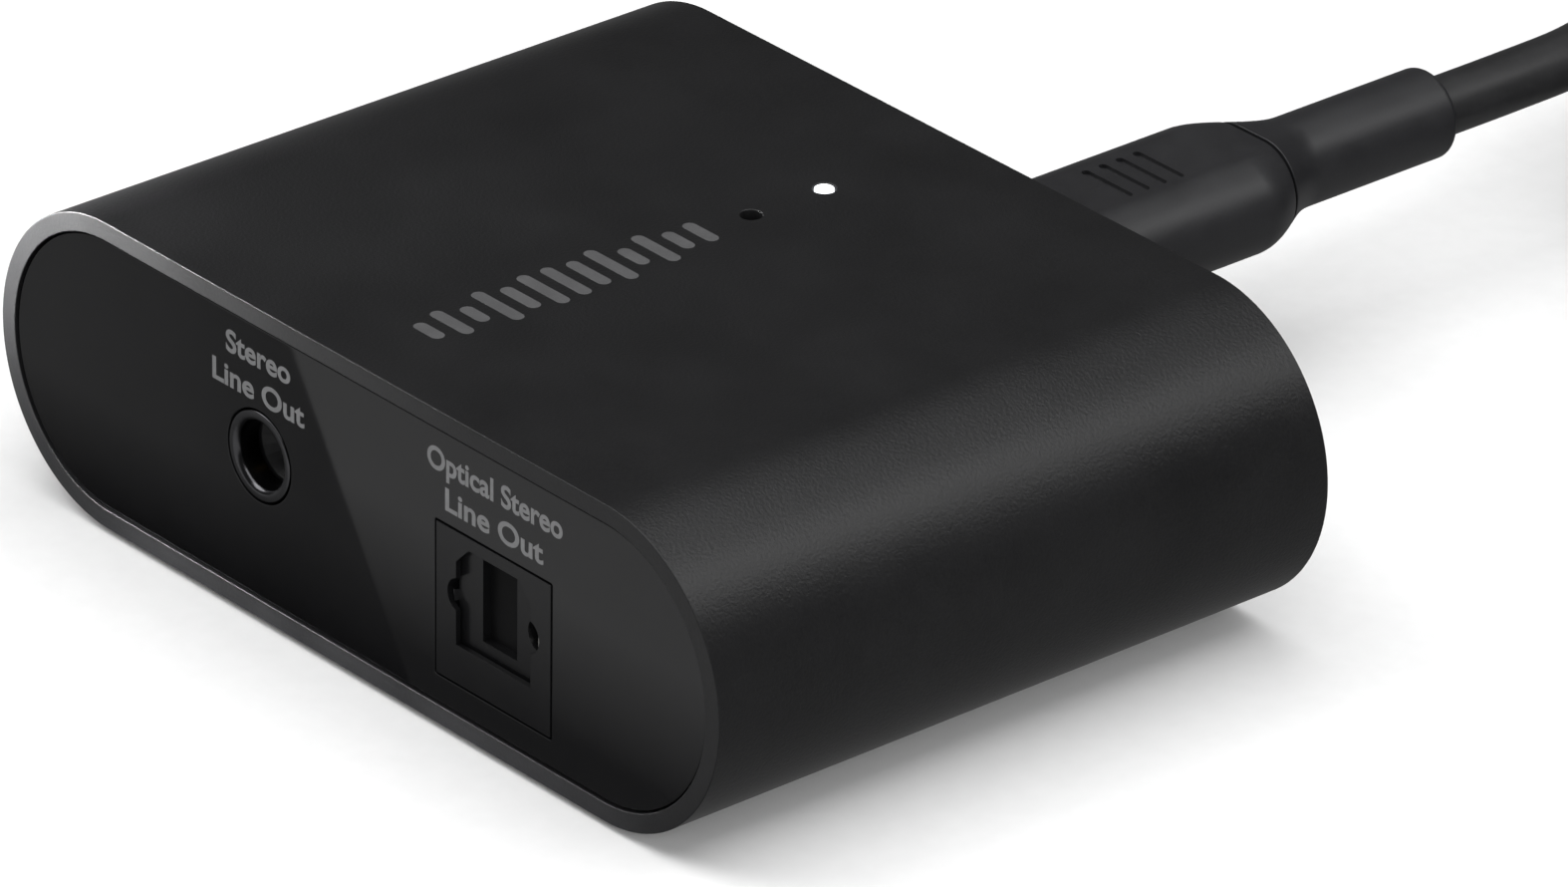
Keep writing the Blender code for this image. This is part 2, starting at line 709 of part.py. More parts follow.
def board_pieces():
    board_piece("radio_module", *RADIO_AT, RADIO_SIZE, board_green())
    board_piece("radio_shield", *RADIO_AT, SHIELD_SIZE, steel(), PCB_TOP + SNUG + RADIO_SIZE[2])
    for name, x, y, width, depth, height in CHIPS:
        size = (width * MM, depth * MM, height * MM)
        board_piece(name, x * MM, y * MM, size, chip_black())
    board_piece("clock_crystal", *CRYSTAL_AT, CRYSTAL_SIZE, steel())
    board_piece("power_inductor", *INDUCTOR_AT, INDUCTOR_SIZE, ferrite())
    low = PCB_TOP + SNUG
    profile = ((CAN_R, low), (CAN_R, low + CAN_H - CAN_EDGE), (CAN_R - CAN_EDGE, low + CAN_H))
    for number, x in enumerate((-CAN_X, CAN_X), 1):
        sub_part(f"capacitor_{number}", turned(profile, "Z", x, CAN_Y), can_metal())


def antenna_plate():
    """A stamped antenna: a flat blade on two legs."""
    x, y = ANTENNA_AT
    low = PCB_TOP + SNUG
    high = low + ANTENNA_H
    blade = block(about(x, ANTENNA_W), about(y, ANTENNA_L), (high - ANTENNA_T, high))
    antenna = sub_part("antenna_plate", blade, steel())
    for leg_y in (y + ANTENNA_L / 2 - ANTENNA_T, y + ANTENNA_L / 4):
        leg = block(about(x, ANTENNA_W / 3), about(leg_y, ANTENNA_T), (low, high - ANTENNA_T / 2))
        join(antenna, leg)


# ================================================================ analogue jack


def jack_body():
    y0 = FRONT_IN_Y
    y1 = y0 + JACK_L
    low = JACK_Z - JACK_UNDER
    high = PCB_Z - FIT
    outline = rounded(JACK_X, (low + high) / 2, JACK_W, high - low, JACK_CORNER, 2)
    body = sub_part("jack_body", prism(outline, "Y", y0, y1), chip_black())
    lead_in = JACK_THROAT_R - JACK_BORE_R
    bore = (
        (JACK_THROAT_R, y0 - FIT),
        (JACK_THROAT_R, y0),
        (JACK_BORE_R, y0 + lead_in),
        (JACK_BORE_R, y0 + JACK_BORE_L),
    )
    cut(body, turned(bore, "Y", JACK_X, JACK_Z))
    width = about(JACK_X, CONTACT_W + 2 * FIT)
    for y in contact_places():
        cut(body, block(width, about(y, CONTACT_L + 2 * FIT), (JACK_Z, PCB_Z)))
    return body


def contact_places():
    """Middle of the sleeve, ring and tip contacts along the bore."""
    first = FRONT_IN_Y + JACK_BORE_L / 2 - CONTACT_PITCH
    return [first + i * CONTACT_PITCH for i in range(3)]


def jack_contacts():
    """Spring contacts that stand in slots over the bore, each with a crown that meets the plug."""
    crown = JACK_Z + JACK_BORE_R - CONTACT_BITE
    crown_top = crown + CONTACT_CROWN_T
    knee = crown + CONTACT_RISE
    tail = PCB_Z - FIT
    half = CONTACT_L / 2
    names = ("jack_sleeve_contact", "jack_ring_contact", "jack_tip_contact")
    for name, y in zip(names, contact_places()):
        side = (
            (y - half, tail),
            (y - half, knee),
            (y, crown),
            (y + half, knee),
            (y + half - CONTACT_T, knee + CONTACT_T),
            (y, crown_top),
            (y - half + CONTACT_T, knee + CONTACT_T / 2),
            (y - half + CONTACT_T, tail),
        )
        sub_part(name, prism(side, "X", *about(JACK_X, CONTACT_W)), contact_metal())


def jack_nose():
    depth = PORT_Y + JACK_MOUTH_DEPTH
    profile = (
        (JACK_NOSE_R, PORT_Y),
        (JACK_NOSE_R, PORT_Y + PANEL_T),
        (JACK_THROAT_R, PORT_Y + PANEL_T),
        (JACK_THROAT_R, depth),
        (JACK_MOUTH_R, PORT_Y),
    )
    nose = turned(profile, "Y", JACK_X, JACK_Z, True, NOSE_STEPS)
    return sub_part("jack_nose_ring", nose, black_gloss())


# ================================================================ optical output


def opening_outline(grow=0.0):
    """The opening seen from the front: square below, corners cut off above."""
    half = OPENING_W / 2 + grow
    low = OPENING_FLOOR - grow
    high = OPENING_TOP + grow
    return (
        (OPT_X - half, low),
        (OPT_X + half, low),
        (OPT_X + half, high - OPENING_CHAMFER),
        (OPT_X + half - OPENING_CHAMFER, high),
        (OPT_X - half + OPENING_CHAMFER, high),
        (OPT_X - half, high - OPENING_CHAMFER),
    )


def optical_housing():
    face_low = OPT_FACE_Z - OPT_FACE_H / 2
    width = about(OPT_X, OPT_FACE_W)
    nose = block(width, (PORT_Y, FRONT_IN_Y + FIT), (face_low, face_low + OPT_FACE_H))
    body = sub_part("optical_housing", nose, black_matte())
    join(body, block(width, (FRONT_IN_Y, OPT_BACK), (face_low, PCB_Z - FIT)))
    across = about(OPT_X, CAVITY_W)
    nose_roof = face_low + OPT_FACE_H - NOSE_ROOF_T
    cut(
        body,
        block(across, (PORT_Y + LIP_T, CAVITY_BACK), (CAVITY_FLOOR, nose_roof)),
        block(across, (FRONT_IN_Y + OPT_ROOF_T, CAVITY_BACK), (OPENING_Z, CAVITY_ROOF)),
        prism(opening_outline(), "Y", PORT_Y - LIP_T, PORT_Y + 2 * LIP_T),
        prism(circle(EMITTER_NOSE_R + FIT, OPT_X, OPENING_Z), "Y", CAVITY_BACK - FIT, OPT_BACK + FIT),
    )
    for side in (-1, 1):
        notch = circle(NOTCH_R, OPT_X + side * NOTCH_OUT, OPENING_Z)
        socket = OPT_X + side * (DOOR_W / 2 + TRUNNION_L + FIT)
        bearing = circle(TRUNNION_R + FIT, HINGE_Y, HINGE_Z, SMALL_STEPS)
        cut(
            body,
            prism(notch, "Y", PORT_Y - LIP_T, PORT_Y + NOTCH_DEPTH),
            prism(bearing, "X", *sorted((OPT_X, socket))),
        )
    return body


def optical_shutter(swing):
    """The spring door: a plate with a grip channel, hung on two trunnions at its top."""
    half_t = DOOR_T / 2
    rounded_top = arc(HINGE_Y, HINGE_Z, half_t, 0.0, math.pi, 8)
    side = [(HINGE_Y - half_t, DOOR_FOOT), (HINGE_Y + half_t, DOOR_FOOT)] + rounded_top
    plate = prism(side, "X", *about(OPT_X, DOOR_W))
    origin = (OPT_X, HINGE_Y, HINGE_Z)
    door = sub_part("optical_shutter", plate, black_matte(), origin, swing)
    spring_low = HINGE_Z - SPRING_R - SPRING_WIRE_R - 2 * SNUG
    right = OPT_X + DOOR_W / 2
    room = (right - SPRING_ROOM, right + FIT)
    front = HINGE_Y - half_t
    channel = (front - half_t, front + CHANNEL_DEPTH)
    cut(
        door,
        block(room, (HINGE_Y - DOOR_T, HINGE_Y + DOOR_T), (spring_low, HINGE_Z + DOOR_T)),
        block(about(OPT_X, CHANNEL_W), channel, (DOOR_FOOT + DOOR_LAP + CHANNEL_FOOT, OPENING_TOP)),
    )
    reach = DOOR_W / 2 + TRUNNION_L
    trunnions = circle(TRUNNION_R, HINGE_Y, HINGE_Z, SMALL_STEPS)
    return join(door, prism(trunnions, "X", OPT_X - reach, OPT_X + reach))


def shutter_spring():
    """The torsion spring round the right trunnion."""
    start = OPT_X + DOOR_W / 2 - SPRING_ROOM + FIT + SPRING_WIRE_R
    pitch = 3.5 * SPRING_WIRE_R
    per_turn = 10
    points = []
    for i in range(SPRING_TURNS * per_turn + 1):
        turn = 2 * math.pi * i / per_turn
        x = start + pitch * i / per_turn
        points.append((x, HINGE_Y + SPRING_R * math.cos(turn), HINGE_Z + SPRING_R * math.sin(turn)))
    return wire("shutter_spring", points, SPRING_WIRE_R, steel(), 0)


def optical_emitter():
    """The light source behind the cavity, with its nose in the wall and three leads to the board."""
    y0 = OPT_BACK + FIT
    top = OPENING_Z + EMITTER_W / 2
    body = block(about(OPT_X, EMITTER_W), (y0, y0 + EMITTER_T), (OPENING_Z - EMITTER_W / 2, top))
    emitter = sub_part("optical_emitter", body, clear_plastic())
    nose = prism(circle(EMITTER_NOSE_R, OPT_X, OPENING_Z), "Y", CAVITY_BACK + FIT, y0 + FIT)
    join(emitter, nose)
    for x in (OPT_X - LEAD_PITCH, OPT_X, OPT_X + LEAD_PITCH):
        lead = block(about(x, LEAD_T), about(y0 + EMITTER_T / 2, LEAD_T), (top - FIT, PCB_Z - FIT))
        join(emitter, lead)


# ================================================================ status light and reset


def status_light():
    board_piece("status_led", 0.0, LIGHT_Y, LED_SIZE, clear_plastic())
    low = PCB_TOP + SNUG + LED_SIZE[2] + FIT
    profile = (
        (LIGHT_BODY_R, low),
        (LIGHT_BODY_R, ROOF_Z - FIT),
        (LIGHT_R, ROOF_Z - FIT),
        (LIGHT_R, TOP_Z),
    )
    sub_part("light_pipe", turned(profile, "Z", 0.0, LIGHT_Y), clear_plastic())


def reset_button():
    board_piece("reset_switch", 0.0, RESET_Y, SWITCH_SIZE, steel())
    switch_top = PCB_TOP + SNUG + SWITCH_SIZE[2]
    head_top = ROOF_Z - PLUNGER_DOWN
    profile = (
        (PLUNGER_STEM_R, switch_top + RESET_TRAVEL + SNUG),
        (PLUNGER_STEM_R, head_top - PLUNGER_HEAD_T),
        (PLUNGER_HEAD_R, head_top - PLUNGER_HEAD_T),
        (PLUNGER_HEAD_R, head_top),
    )
    origin = (0.0, RESET_Y, head_top)
    sub_part("reset_plunger", turned(profile, "Z", 0.0, RESET_Y), black_matte(), origin)


# ================================================================ USB-C inlet


def usb_inlet():
    outer = stadium(INLET_W, INLET_H, USB_Z, 6)
    inner = stadium(INLET_W - 2 * INLET_WALL, INLET_H - 2 * INLET_WALL, USB_Z, 6)
    sub_part("usb_c_shell", tube(outer, inner, "Y", INLET_REAR, INLET_MOUTH), steel())
    rear = (INLET_REAR - FIT - INLET_BLOCK_L, INLET_REAR - FIT)
    low = USB_Z - INLET_H / 2
    insulator = block(about(0.0, INLET_W), rear, (low, PCB_Z - FIT))
    insulator = sub_part("usb_c_insulator", insulator, chip_black())
    over = (USB_Z + INLET_H / 2 + FIT, PCB_Z - FIT)
    tongue_y = (rear[0] + INLET_WALL, INLET_REAR + TONGUE_L)
    tongue = rounded(0.0, USB_Z, TONGUE_W, TONGUE_T, TONGUE_T / 3, 2)
    join(
        insulator,
        block(about(0.0, INLET_W), (rear[0] + INLET_WALL, BACK_IN_Y), over),
        prism(tongue, "Y", *tongue_y),
    )


# ================================================================ power lead


def step_up(t):
    """Smooth change from 0 to 1."""
    t = min(1.0, max(0.0, t))
    return t * t * (3 - 2 * t)


def oval(width, height, x, z, steps=9):
    """Outline with two round ends whose count of points is the same down to a plain circle."""
    radius = height / 2
    points = []
    for side in (1, -1):
        for i in range(steps):
            turn = side * math.pi / 2 * (2 * (i + 0.5) / steps - 1)
            across = x + side * (width / 2 - radius + radius * math.cos(turn))
            points.append((across, z + radius * math.sin(turn)))
    return points


def moulding_ring(width, height, along, at, x, z):
    """A ring of the plug's skin, which goes from its flat body to its round relief."""
    share = step_up(along / SHOULDER_L)
    w = width + (2 * RELIEF_R - width) * share
    h = height + (2 * RELIEF_R - height) * share
    return ring(oval(w, h, x, z), "Y", at)


def plug_mouldings(prefix, x, z, face, size, relief, lead):
    """A plug's front and rear mouldings: flat body, shoulder, seam and round strain relief."""
    width, height, length = size
    shoulder = face + length
    steps = 5
    front = [
        ring(oval(width - 2 * PLUG_EDGE, height - 2 * PLUG_EDGE, x, z), "Y", face),
        ring(oval(width - PLUG_EDGE / 2, height - PLUG_EDGE / 2, x, z), "Y", face + PLUG_EDGE / 2),
        ring(oval(width, height, x, z), "Y", face + PLUG_EDGE * 3 / 2),
    ]
    for i in range(steps + 1):
        along = (SEAM_AT - SNUG) * i / steps
        front.append(moulding_ring(width, height, along, shoulder + along, x, z))
    sub_part(f"{prefix}_overmould", loft(front), soft_black(), (x, face, z), lead)
    rear = []
    for i in range(steps + 1):
        along = SEAM_AT + SNUG + (SHOULDER_L - SEAM_AT - SNUG) * i / steps
        rear.append(moulding_ring(width, height, along, shoulder + along, x, z))
    end = shoulder + SHOULDER_L + relief
    across = 2 * RELIEF_R
    edge = ((0.0, RELIEF_EDGE), (RELIEF_EDGE / 2, RELIEF_EDGE / 4), (2 * RELIEF_EDGE, 0.0))
    for narrower, before in edge:
        small = across - narrower
        rear.append(ring(oval(small, small, x, z), "Y", end - before))
    sub_part(f"{prefix}_relief", loft(rear), soft_black(), (x, shoulder, z), lead)


def shell_tube(name, x, z, size, wall, corner, low, high, lead):
    """A plug's metal shell: a rounded rectangular tube."""
    width, height = size
    outer = rounded(x, z, width, height, corner)
    inner = rounded(x, z, width - 2 * wall, height - 2 * wall, corner - wall / 2)
    return sub_part(name, tube(outer, inner, "Y", low, high), steel(), (x, low, z), lead)


def usb_c_plug(lead):
    plug_mouldings("usb_c_plug", 0.0, USB_Z, PLUG_Y, (PLUG_W, PLUG_H, PLUG_L), RELIEF_L, lead)
    high = PLUG_Y - SNUG
    low = high - PLUG_SHELL_L
    size = (PLUG_SHELL_W, PLUG_SHELL_H)
    corner = PLUG_SHELL_H / 2 - SNUG
    shell_tube("usb_c_plug_shell", 0.0, USB_Z, size, PLUG_SHELL_WALL, corner, low, high, lead)


def usb_a_plug(lead):
    x, _, z = CORD_TAIL[-1]
    plug_mouldings("usb_a_plug", x, z, USBA_FACE_Y, (USBA_W, USBA_H, USBA_L), USBA_RELIEF_L, lead)
    high = USBA_FACE_Y - SNUG
    low = high - USBA_SHELL_L
    size = (USBA_SHELL_W, USBA_SHELL_H)
    corner = 2 * USBA_SHELL_WALL
    shell_tube("usb_a_plug_shell", x, z, size, USBA_SHELL_WALL, corner, low, high, lead)
    room = USBA_SHELL_W - 2 * USBA_SHELL_WALL - 2 * FIT
    inner_top = z + USBA_SHELL_H / 2 - USBA_SHELL_WALL - FIT
    tongue = block(about(x, room), (low + FIT, high - SNUG), (inner_top - USBA_TONGUE_T, inner_top))
    sub_part("usb_a_contact_block", tongue, chip_black(), (x, low, z), lead)


def power_cord(lead):
    step = CORD_STEP * 2 * CORD_R
    wire("power_cord", smooth_route(CORD_LEAD, step), CORD_R, soft_black(), 2, lead)
    wire("power_cord_tail", smooth_route(CORD_TAIL, step / 3), CORD_R, soft_black(), 2, lead)
    middle = COIL_FLOOR + COIL_BAND / 2
    section = rounded(COIL_R, middle, COIL_BAND, COIL_BAND, CORD_R, 3)
    coil = turned(section, "Z", COIL_X, COIL_Y, True, COIL_STEPS)
    sub_part("power_cord_coil", coil, soft_black(), (COIL_X, COIL_Y, middle), lead)


def cord_tie(lead):
    """The strap round the coil's band, on the side away from the receiver."""
    half = TIE_W / 2
    near = math.sqrt((COIL_R - COIL_BAND / 2) ** 2 - half ** 2) - FIT
    far = COIL_R + COIL_BAND / 2 + FIT
    middle = COIL_Y + (near + far) / 2
    height = COIL_BAND + 2 * FIT
    centre_z = COIL_FLOOR + COIL_BAND / 2
    inner = rounded(middle, centre_z, far - near, height, CORD_R, 3)
    outer = rounded(middle, centre_z, far - near + 2 * TIE_T, height + 2 * TIE_T, CORD_R + TIE_T, 3)
    strap = tube(outer, inner, "X", *about(COIL_X, TIE_W))
    sub_part("cord_tie", strap, black_matte(), (COIL_X, middle, centre_z), lead)


# ================================================================ the whole


def clear_scene():
    for obj in list(bpy.data.objects):
        bpy.data.objects.remove(obj, do_unlink=True)


def build():
    clear_scene()
    housing_shell()
    foot_pad()
    front_panel()
    rear_panel()
    chassis_tray()
    base_weight()
    screws()
    main_pcb()
    board_pieces()
    antenna_plate()
    jack_body()
    jack_contacts()
    jack_nose()
    optical_housing()
    optical_shutter(empty("shutter_axis", (OPT_X, HINGE_Y, HINGE_Z)))
    shutter_spring()
    optical_emitter()
    status_light()
    reset_button()
    usb_inlet()
    lead = empty("power_lead", (0.0, PLUG_Y, USB_Z))
    usb_c_plug(lead)
    power_cord(lead)
    cord_tie(lead)
    usb_a_plug(lead)


build()
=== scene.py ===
import math

import bmesh
import bpy
from mathutils import Matrix, Vector

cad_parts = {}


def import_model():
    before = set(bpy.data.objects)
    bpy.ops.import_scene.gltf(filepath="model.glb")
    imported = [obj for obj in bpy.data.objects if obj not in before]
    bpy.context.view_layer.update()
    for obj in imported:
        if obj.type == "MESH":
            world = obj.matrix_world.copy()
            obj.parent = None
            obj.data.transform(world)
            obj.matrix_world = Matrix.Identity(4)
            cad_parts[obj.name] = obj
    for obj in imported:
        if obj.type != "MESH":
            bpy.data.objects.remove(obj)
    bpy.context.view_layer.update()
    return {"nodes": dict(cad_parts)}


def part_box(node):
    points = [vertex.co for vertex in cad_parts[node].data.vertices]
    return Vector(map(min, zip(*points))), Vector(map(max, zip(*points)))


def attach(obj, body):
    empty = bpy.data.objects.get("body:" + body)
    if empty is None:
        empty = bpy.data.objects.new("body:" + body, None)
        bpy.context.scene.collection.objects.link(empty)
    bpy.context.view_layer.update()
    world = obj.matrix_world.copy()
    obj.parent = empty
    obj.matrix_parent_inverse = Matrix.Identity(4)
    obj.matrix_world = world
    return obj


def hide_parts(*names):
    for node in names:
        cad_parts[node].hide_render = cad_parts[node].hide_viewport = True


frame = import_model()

MM = 0.001

# ---------------------------------------------------------------- view
CAMERA_AT = (642.11 * MM, -540.22 * MM, 441.65 * MM)
CAMERA_AIM = (6.978 * MM, 6.133 * MM, 10.49 * MM)
CAMERA_ROLL = math.radians(0.81)
CAMERA_LENS = 298.59
SENSOR_WIDTH = 36.0

# ---------------------------------------------------------------- housing and panels
WALL = 1.5 * MM
RIM_ROUND = 0.08 * MM
PANEL_ROUND = 0.12 * MM
SMALL_ROUND = 0.07 * MM
HOLE_ROUND = 0.1 * MM
SNUG = 0.15 * MM
FIT = 0.3 * MM
END_STEPS = 40            # steps in a quarter of a round end
ROUND_STEPS = 96          # sides of a small turned piece
GUARD = 0.03 * MM         # width of the strip that keeps a flat face flat beside a round edge
PANEL_T = 2.0 * MM
HOOK_X = 25.2 * MM
HOOK_W = 5.0 * MM
HOOK_REACH = 5.0 * MM
HOOK_T = 1.3 * MM
HOOK_DROP = 1.2 * MM
LIGHT_HOLE_R = 0.9 * MM
PINHOLE_R = 0.85 * MM
COLLAR_WALL = 0.9 * MM
COLLAR_DROP = 1.6 * MM
SCREW_BORE_R = 1.2 * MM
SCREW_X = 20.0 * MM
SCREW_HEAD_R = 2.2 * MM
FOOT_R = 9.0 * MM

# ---------------------------------------------------------------- prints on the top and the panel
BARS = 13
BAR_STEP = 2.1 * MM
BAR_FIRST_Y = -21.2 * MM
BAR_L = 6.0 * MM
BAR_W = 1.1 * MM
BAR_CORNER = 0.54 * MM
BAR_STRAIGHT = 2.46 * MM  # from a bar's middle to where its round end starts
MARK_X = -0.1 * MM
MARK_RISE = 0.015 * MM
LEGEND_CAP = 1.95 * MM    # height of the capitals
LEGEND_UPPER_Z = 20.65 * MM
LEGEND_LOWER_Z = 17.85 * MM
# each line of print: its words, middle, foot and width
LEGENDS = {
    "legend_line_1": ("Stereo", -10.75 * MM, LEGEND_UPPER_Z, 7.4 * MM),
    "legend_line_2": ("Line Out", -10.75 * MM, LEGEND_LOWER_Z, 10.6 * MM),
    "legend_optical_1": ("Optical Stereo", 16.0 * MM, LEGEND_UPPER_Z, 15.0 * MM),
    "legend_optical_2": ("Line Out", 15.95 * MM, LEGEND_LOWER_Z, 10.9 * MM),
}

# ---------------------------------------------------------------- jack and optical socket
JACK_BORE_MOUTH_R = 2.6 * MM
JACK_CHAMFER_R = 3.1 * MM
JACK_CHAMFER_DEPTH = 0.5 * MM
OPENING_W = 8.3 * MM
OPENING_H = 8.05 * MM
OPENING_MID_Z = 11.53 * MM
OPENING_CHAMFER = 1.4 * MM
LIP_T = 0.45 * MM
NOSE_H = 12.1 * MM        # height of the optical socket's face in the panel
NOTCH_R = 1.35 * MM
NOTCH_OUT = 3.75 * MM
NOTCH_DEPTH = 2.4 * MM
NOSE_ROOF_T = 0.35 * MM
ROOF_T = 0.6 * MM
CAVITY_BACK_Y = -18.3 * MM
TRUNNION_R = 0.3 * MM
DOOR_T = 1.1 * MM
DOOR_OVERLAP = 0.8 * MM   # how much wider the door is than the opening
DOOR_CLEAR = 0.2 * MM     # from the lip to the shut door
LIGHT_BORE_R = 1.9 * MM   # bore from the socket to the light source
TRUNNION_SOCKET = 1.2 * MM
CHANNEL_W = 3.8 * MM
CHANNEL_DEPTH = 0.75 * MM
CHANNEL_FOOT = 1.4 * MM
BITE_OUT = 0.7 * MM       # how far beyond a latch notch the door is bitten away
SPRING_ROOM = 1.9 * MM
SPRING_CLEAR = 0.89 * MM
LATCH_T = 0.12 * MM
LATCH_W = 0.9 * MM
LATCH_BOW = 0.45 * MM     # how far a latch strip bulges inwards
LATCH_DROP = 0.35 * MM

# ---------------------------------------------------------------- plug and cord
PLUG_W = 13.8 * MM
PLUG_H = 7.9 * MM
PLUG_L = 25.2 * MM
PLUG_FACE_ROUND = 0.5 * MM
SHOULDER_L = 8.0 * MM
SEAM_AT = 3.7 * MM
SEAM_GAP = 0.2 * MM
SEAM_LIP = 0.08 * MM      # round edge beside the groove
SEAM_DEPTH = 0.5 * MM
GRIPS = 4
GRIP_AT = 14.6 * MM       # from the plug's front face to the first grip groove
GRIP_STEP = 1.7 * MM
GRIP_L = 5.4 * MM
GRIP_W = 0.7 * MM
GRIP_DEPTH = 0.3 * MM
NECK_L = 0.5 * MM         # core that bridges the clearance before and behind the mouldings
USB_C_NECK = (7.6 * MM, 1.8 * MM)
USB_A_NECK = (10.4 * MM, 3.2 * MM)
RELIEF_R = 3.6 * MM
RELIEF_L = 14.0 * MM
RELIEF_ROUND = 0.6 * MM
CORD_D = 4.75 * MM
COIL_AT = (26.0 * MM, 122.0 * MM)
COIL_R = 27.0 * MM
COIL_LOW_Z = 3.675 * MM
COIL_START_TURN = 0.5     # turns from +X, anticlockwise, where the cord enters the coil
COIL_TURNS = 8.5
COIL_SHIFT_AT = 0.75      # turns after the start at which each turn moves to the next place
COIL_SHIFT_SPAN = 0.16    # turns that the move takes
# each turn's place in the coil, (column, layer) from the inside and from below
COIL_PLACES = ((2, 2), (2, 1), (1, 1), (1, 2), (0, 2), (0, 1), (0, 0), (1, 0), (2, 0))
CORD_LEAD = (
    (0.0, 76.3 * MM, 13.4 * MM),
    (0.0, 84.0 * MM, 13.4 * MM),
    (-0.3 * MM, 91.0 * MM, 13.35 * MM),
    (-1.6 * MM, 96.0 * MM, 13.3 * MM),
    (-3.9 * MM, 100.4 * MM, 13.25 * MM),
)
CORD_TAIL = (
    (57.8 * MM, 103.2 * MM, 3.8 * MM),
    (58.0 * MM, 99.0 * MM, 3.9 * MM),
    (58.0 * MM, 94.3 * MM, 4.0 * MM),
)
USBA_W = 15.6 * MM
USBA_H = 7.8 * MM
USBA_L = 14.0 * MM
USBA_RELIEF_L = 8.0 * MM
USBA_WALL = 0.35 * MM
USBA_WINDOW = 2.3 * MM
USBA_WINDOW_X = 2.85 * MM
USBA_WINDOW_Y = 6.2 * MM
CONTACTS = 4
CONTACT_STEP = 2.3 * MM
CONTACT_Y = 4.6 * MM
CONTACT_W = 1.0 * MM
CONTACT_L = 7.6 * MM
CONTACT_CORNER = 0.3 * MM
CONTACT_T = 0.06 * MM
STRAP_T = 0.9 * MM
STRAP_EDGE = 0.12 * MM

RECEIVER = "receiver"
SHUTTER = "shutter"
LEAD = "power_lead"

# ---------------------------------------------------------------- stage and light
# studio lights turned towards the receiver's middle: place and size in metres, power in watts
SOFTBOXES = {
    "overhead": ((0.1, 0.0, 0.8), 1.0, 1.0, 7.0),
    "front_left": ((-0.45, -0.35, 0.55), 0.5, 0.5, 3.0),
    "back_right": ((0.33, 0.43, 0.49), 0.18, 0.4, 0.65),
    "front_fill": ((0.6, -0.7, 0.35), 0.9, 0.5, 3.8),
    "right_fill": ((0.9, 0.3, 0.4), 0.9, 0.5, 3.5),
}
# lights of the sleeve alone: place, aim, size, power and spread in degrees
RIM_GLOW = ((-0.06, -0.05, 0.03), (-0.036, -0.0285, 0.02), 0.012, 0.012, 0.022, 60.0)
FLOOR_BOUNCE = ((0.0, -0.0365, 0.001), (0.0, 0.0, 0.001), 0.06, 0.001, 0.009)
SKY_LIGHT = 0.07
GROUND_LIGHT = 0.22
HORIZON = 0.1             # height of a view's direction over which the ground turns to sky
FLOOR_SIZE = 6.0
FLOOR_T = 0.01
FLOOR_DROP = 0.00002      # the floor lies this far under what stands on it
PAPER_Z = -0.00001
PAPER_CLEAR_R = 0.3       # within this the floor itself is seen
PAPER_FULL_R = 0.75       # beyond this only the far paper is seen
PAPER_INNER_R = 0.28
PAPER_OUTER_R = 20.0
PAPER_BEND = 0.5
PAPER_TOP = 12.0
# the card's glow is a painted reflection of the floor before the ports, darker near them as painted shade
CARD_X = (-0.3, 0.12)
CARD_FRONT_Y = -0.4
CARD_Z = (-0.002, -0.001)
CARD_CLEAR = 1.0 * MM
CARD_NEAR = 7.0 * MM      # distances from the ports between which the card's bright side rises out of its painted shade
CARD_FAR = 20.0 * MM
CARD_NEAR_SHADE = 0.1
CARD_LIGHT = 0.62
CARD_EDGE = 0.12 * MM     # half the width of its dividing edge
CARD_EDGE_AT = (-7.43 * MM, -37.33 * MM)
CARD_EDGE_ALONG = (-33.83, -19.02)
CARD_LEAN = 1.16          # sideways run of a mirrored place for each step away from the ports
DIM_FROM = -38.0 * MM     # panel places between which the card's dim side fades to the right
DIM_TO = -6.0 * MM
DIM_LIGHT = 0.33
DIM_DARK = 0.18
DIM_NEAR = 3.5 * MM       # distances from the ports between which the dim side rises out of its painted shade
DIM_FAR = 14.0 * MM
DIM_NEAR_SHADE = 0.08

# ================================================================ view and light


def place_camera():
    """A long lens at the product's three-quarter angle, rolled a little."""
    back = (Vector(CAMERA_AT) - Vector(CAMERA_AIM)).normalized()
    right = Vector((-back.y, back.x, 0.0)).normalized()
    up = back.cross(right)
    turned_right = right * math.cos(CAMERA_ROLL) + up * math.sin(CAMERA_ROLL)
    turned_up = up * math.cos(CAMERA_ROLL) - right * math.sin(CAMERA_ROLL)
    data = bpy.data.cameras.new("camera")
    data.lens = CAMERA_LENS
    data.sensor_width = SENSOR_WIDTH
    data.clip_start = 0.01
    data.clip_end = 100.0
    camera = bpy.data.objects.new("camera", data)
    bpy.context.scene.collection.objects.link(camera)
    axes = Matrix((turned_right, turned_up, back)).transposed().to_4x4()
    camera.matrix_world = Matrix.Translation(CAMERA_AT) @ axes
    bpy.context.scene.camera = camera


def softbox(name, at, aim, width, height, power, spread=180.0):
    """A rectangular studio light, turned towards a point."""
    data = bpy.data.lights.new(name, "AREA")
    data.shape = "RECTANGLE"
    data.size = width
    data.size_y = height
    data.energy = power
    data.spread = math.radians(spread)
    light = bpy.data.objects.new(name, data)
    light.location = at
    light.rotation_euler = (Vector(aim) - Vector(at)).to_track_quat("-Z", "Y").to_euler()
    bpy.context.scene.collection.objects.link(light)
    return light


# ================================================================ materials


def linear(hex_colour):
    """An sRGB hex colour as linear RGBA."""
    parts = [int(hex_colour[i:i + 2], 16) / 255 for i in (1, 3, 5)]
    return (*[c / 12.92 if c <= 0.04045 else ((c + 0.055) / 1.055) ** 2.4 for c in parts], 1.0)


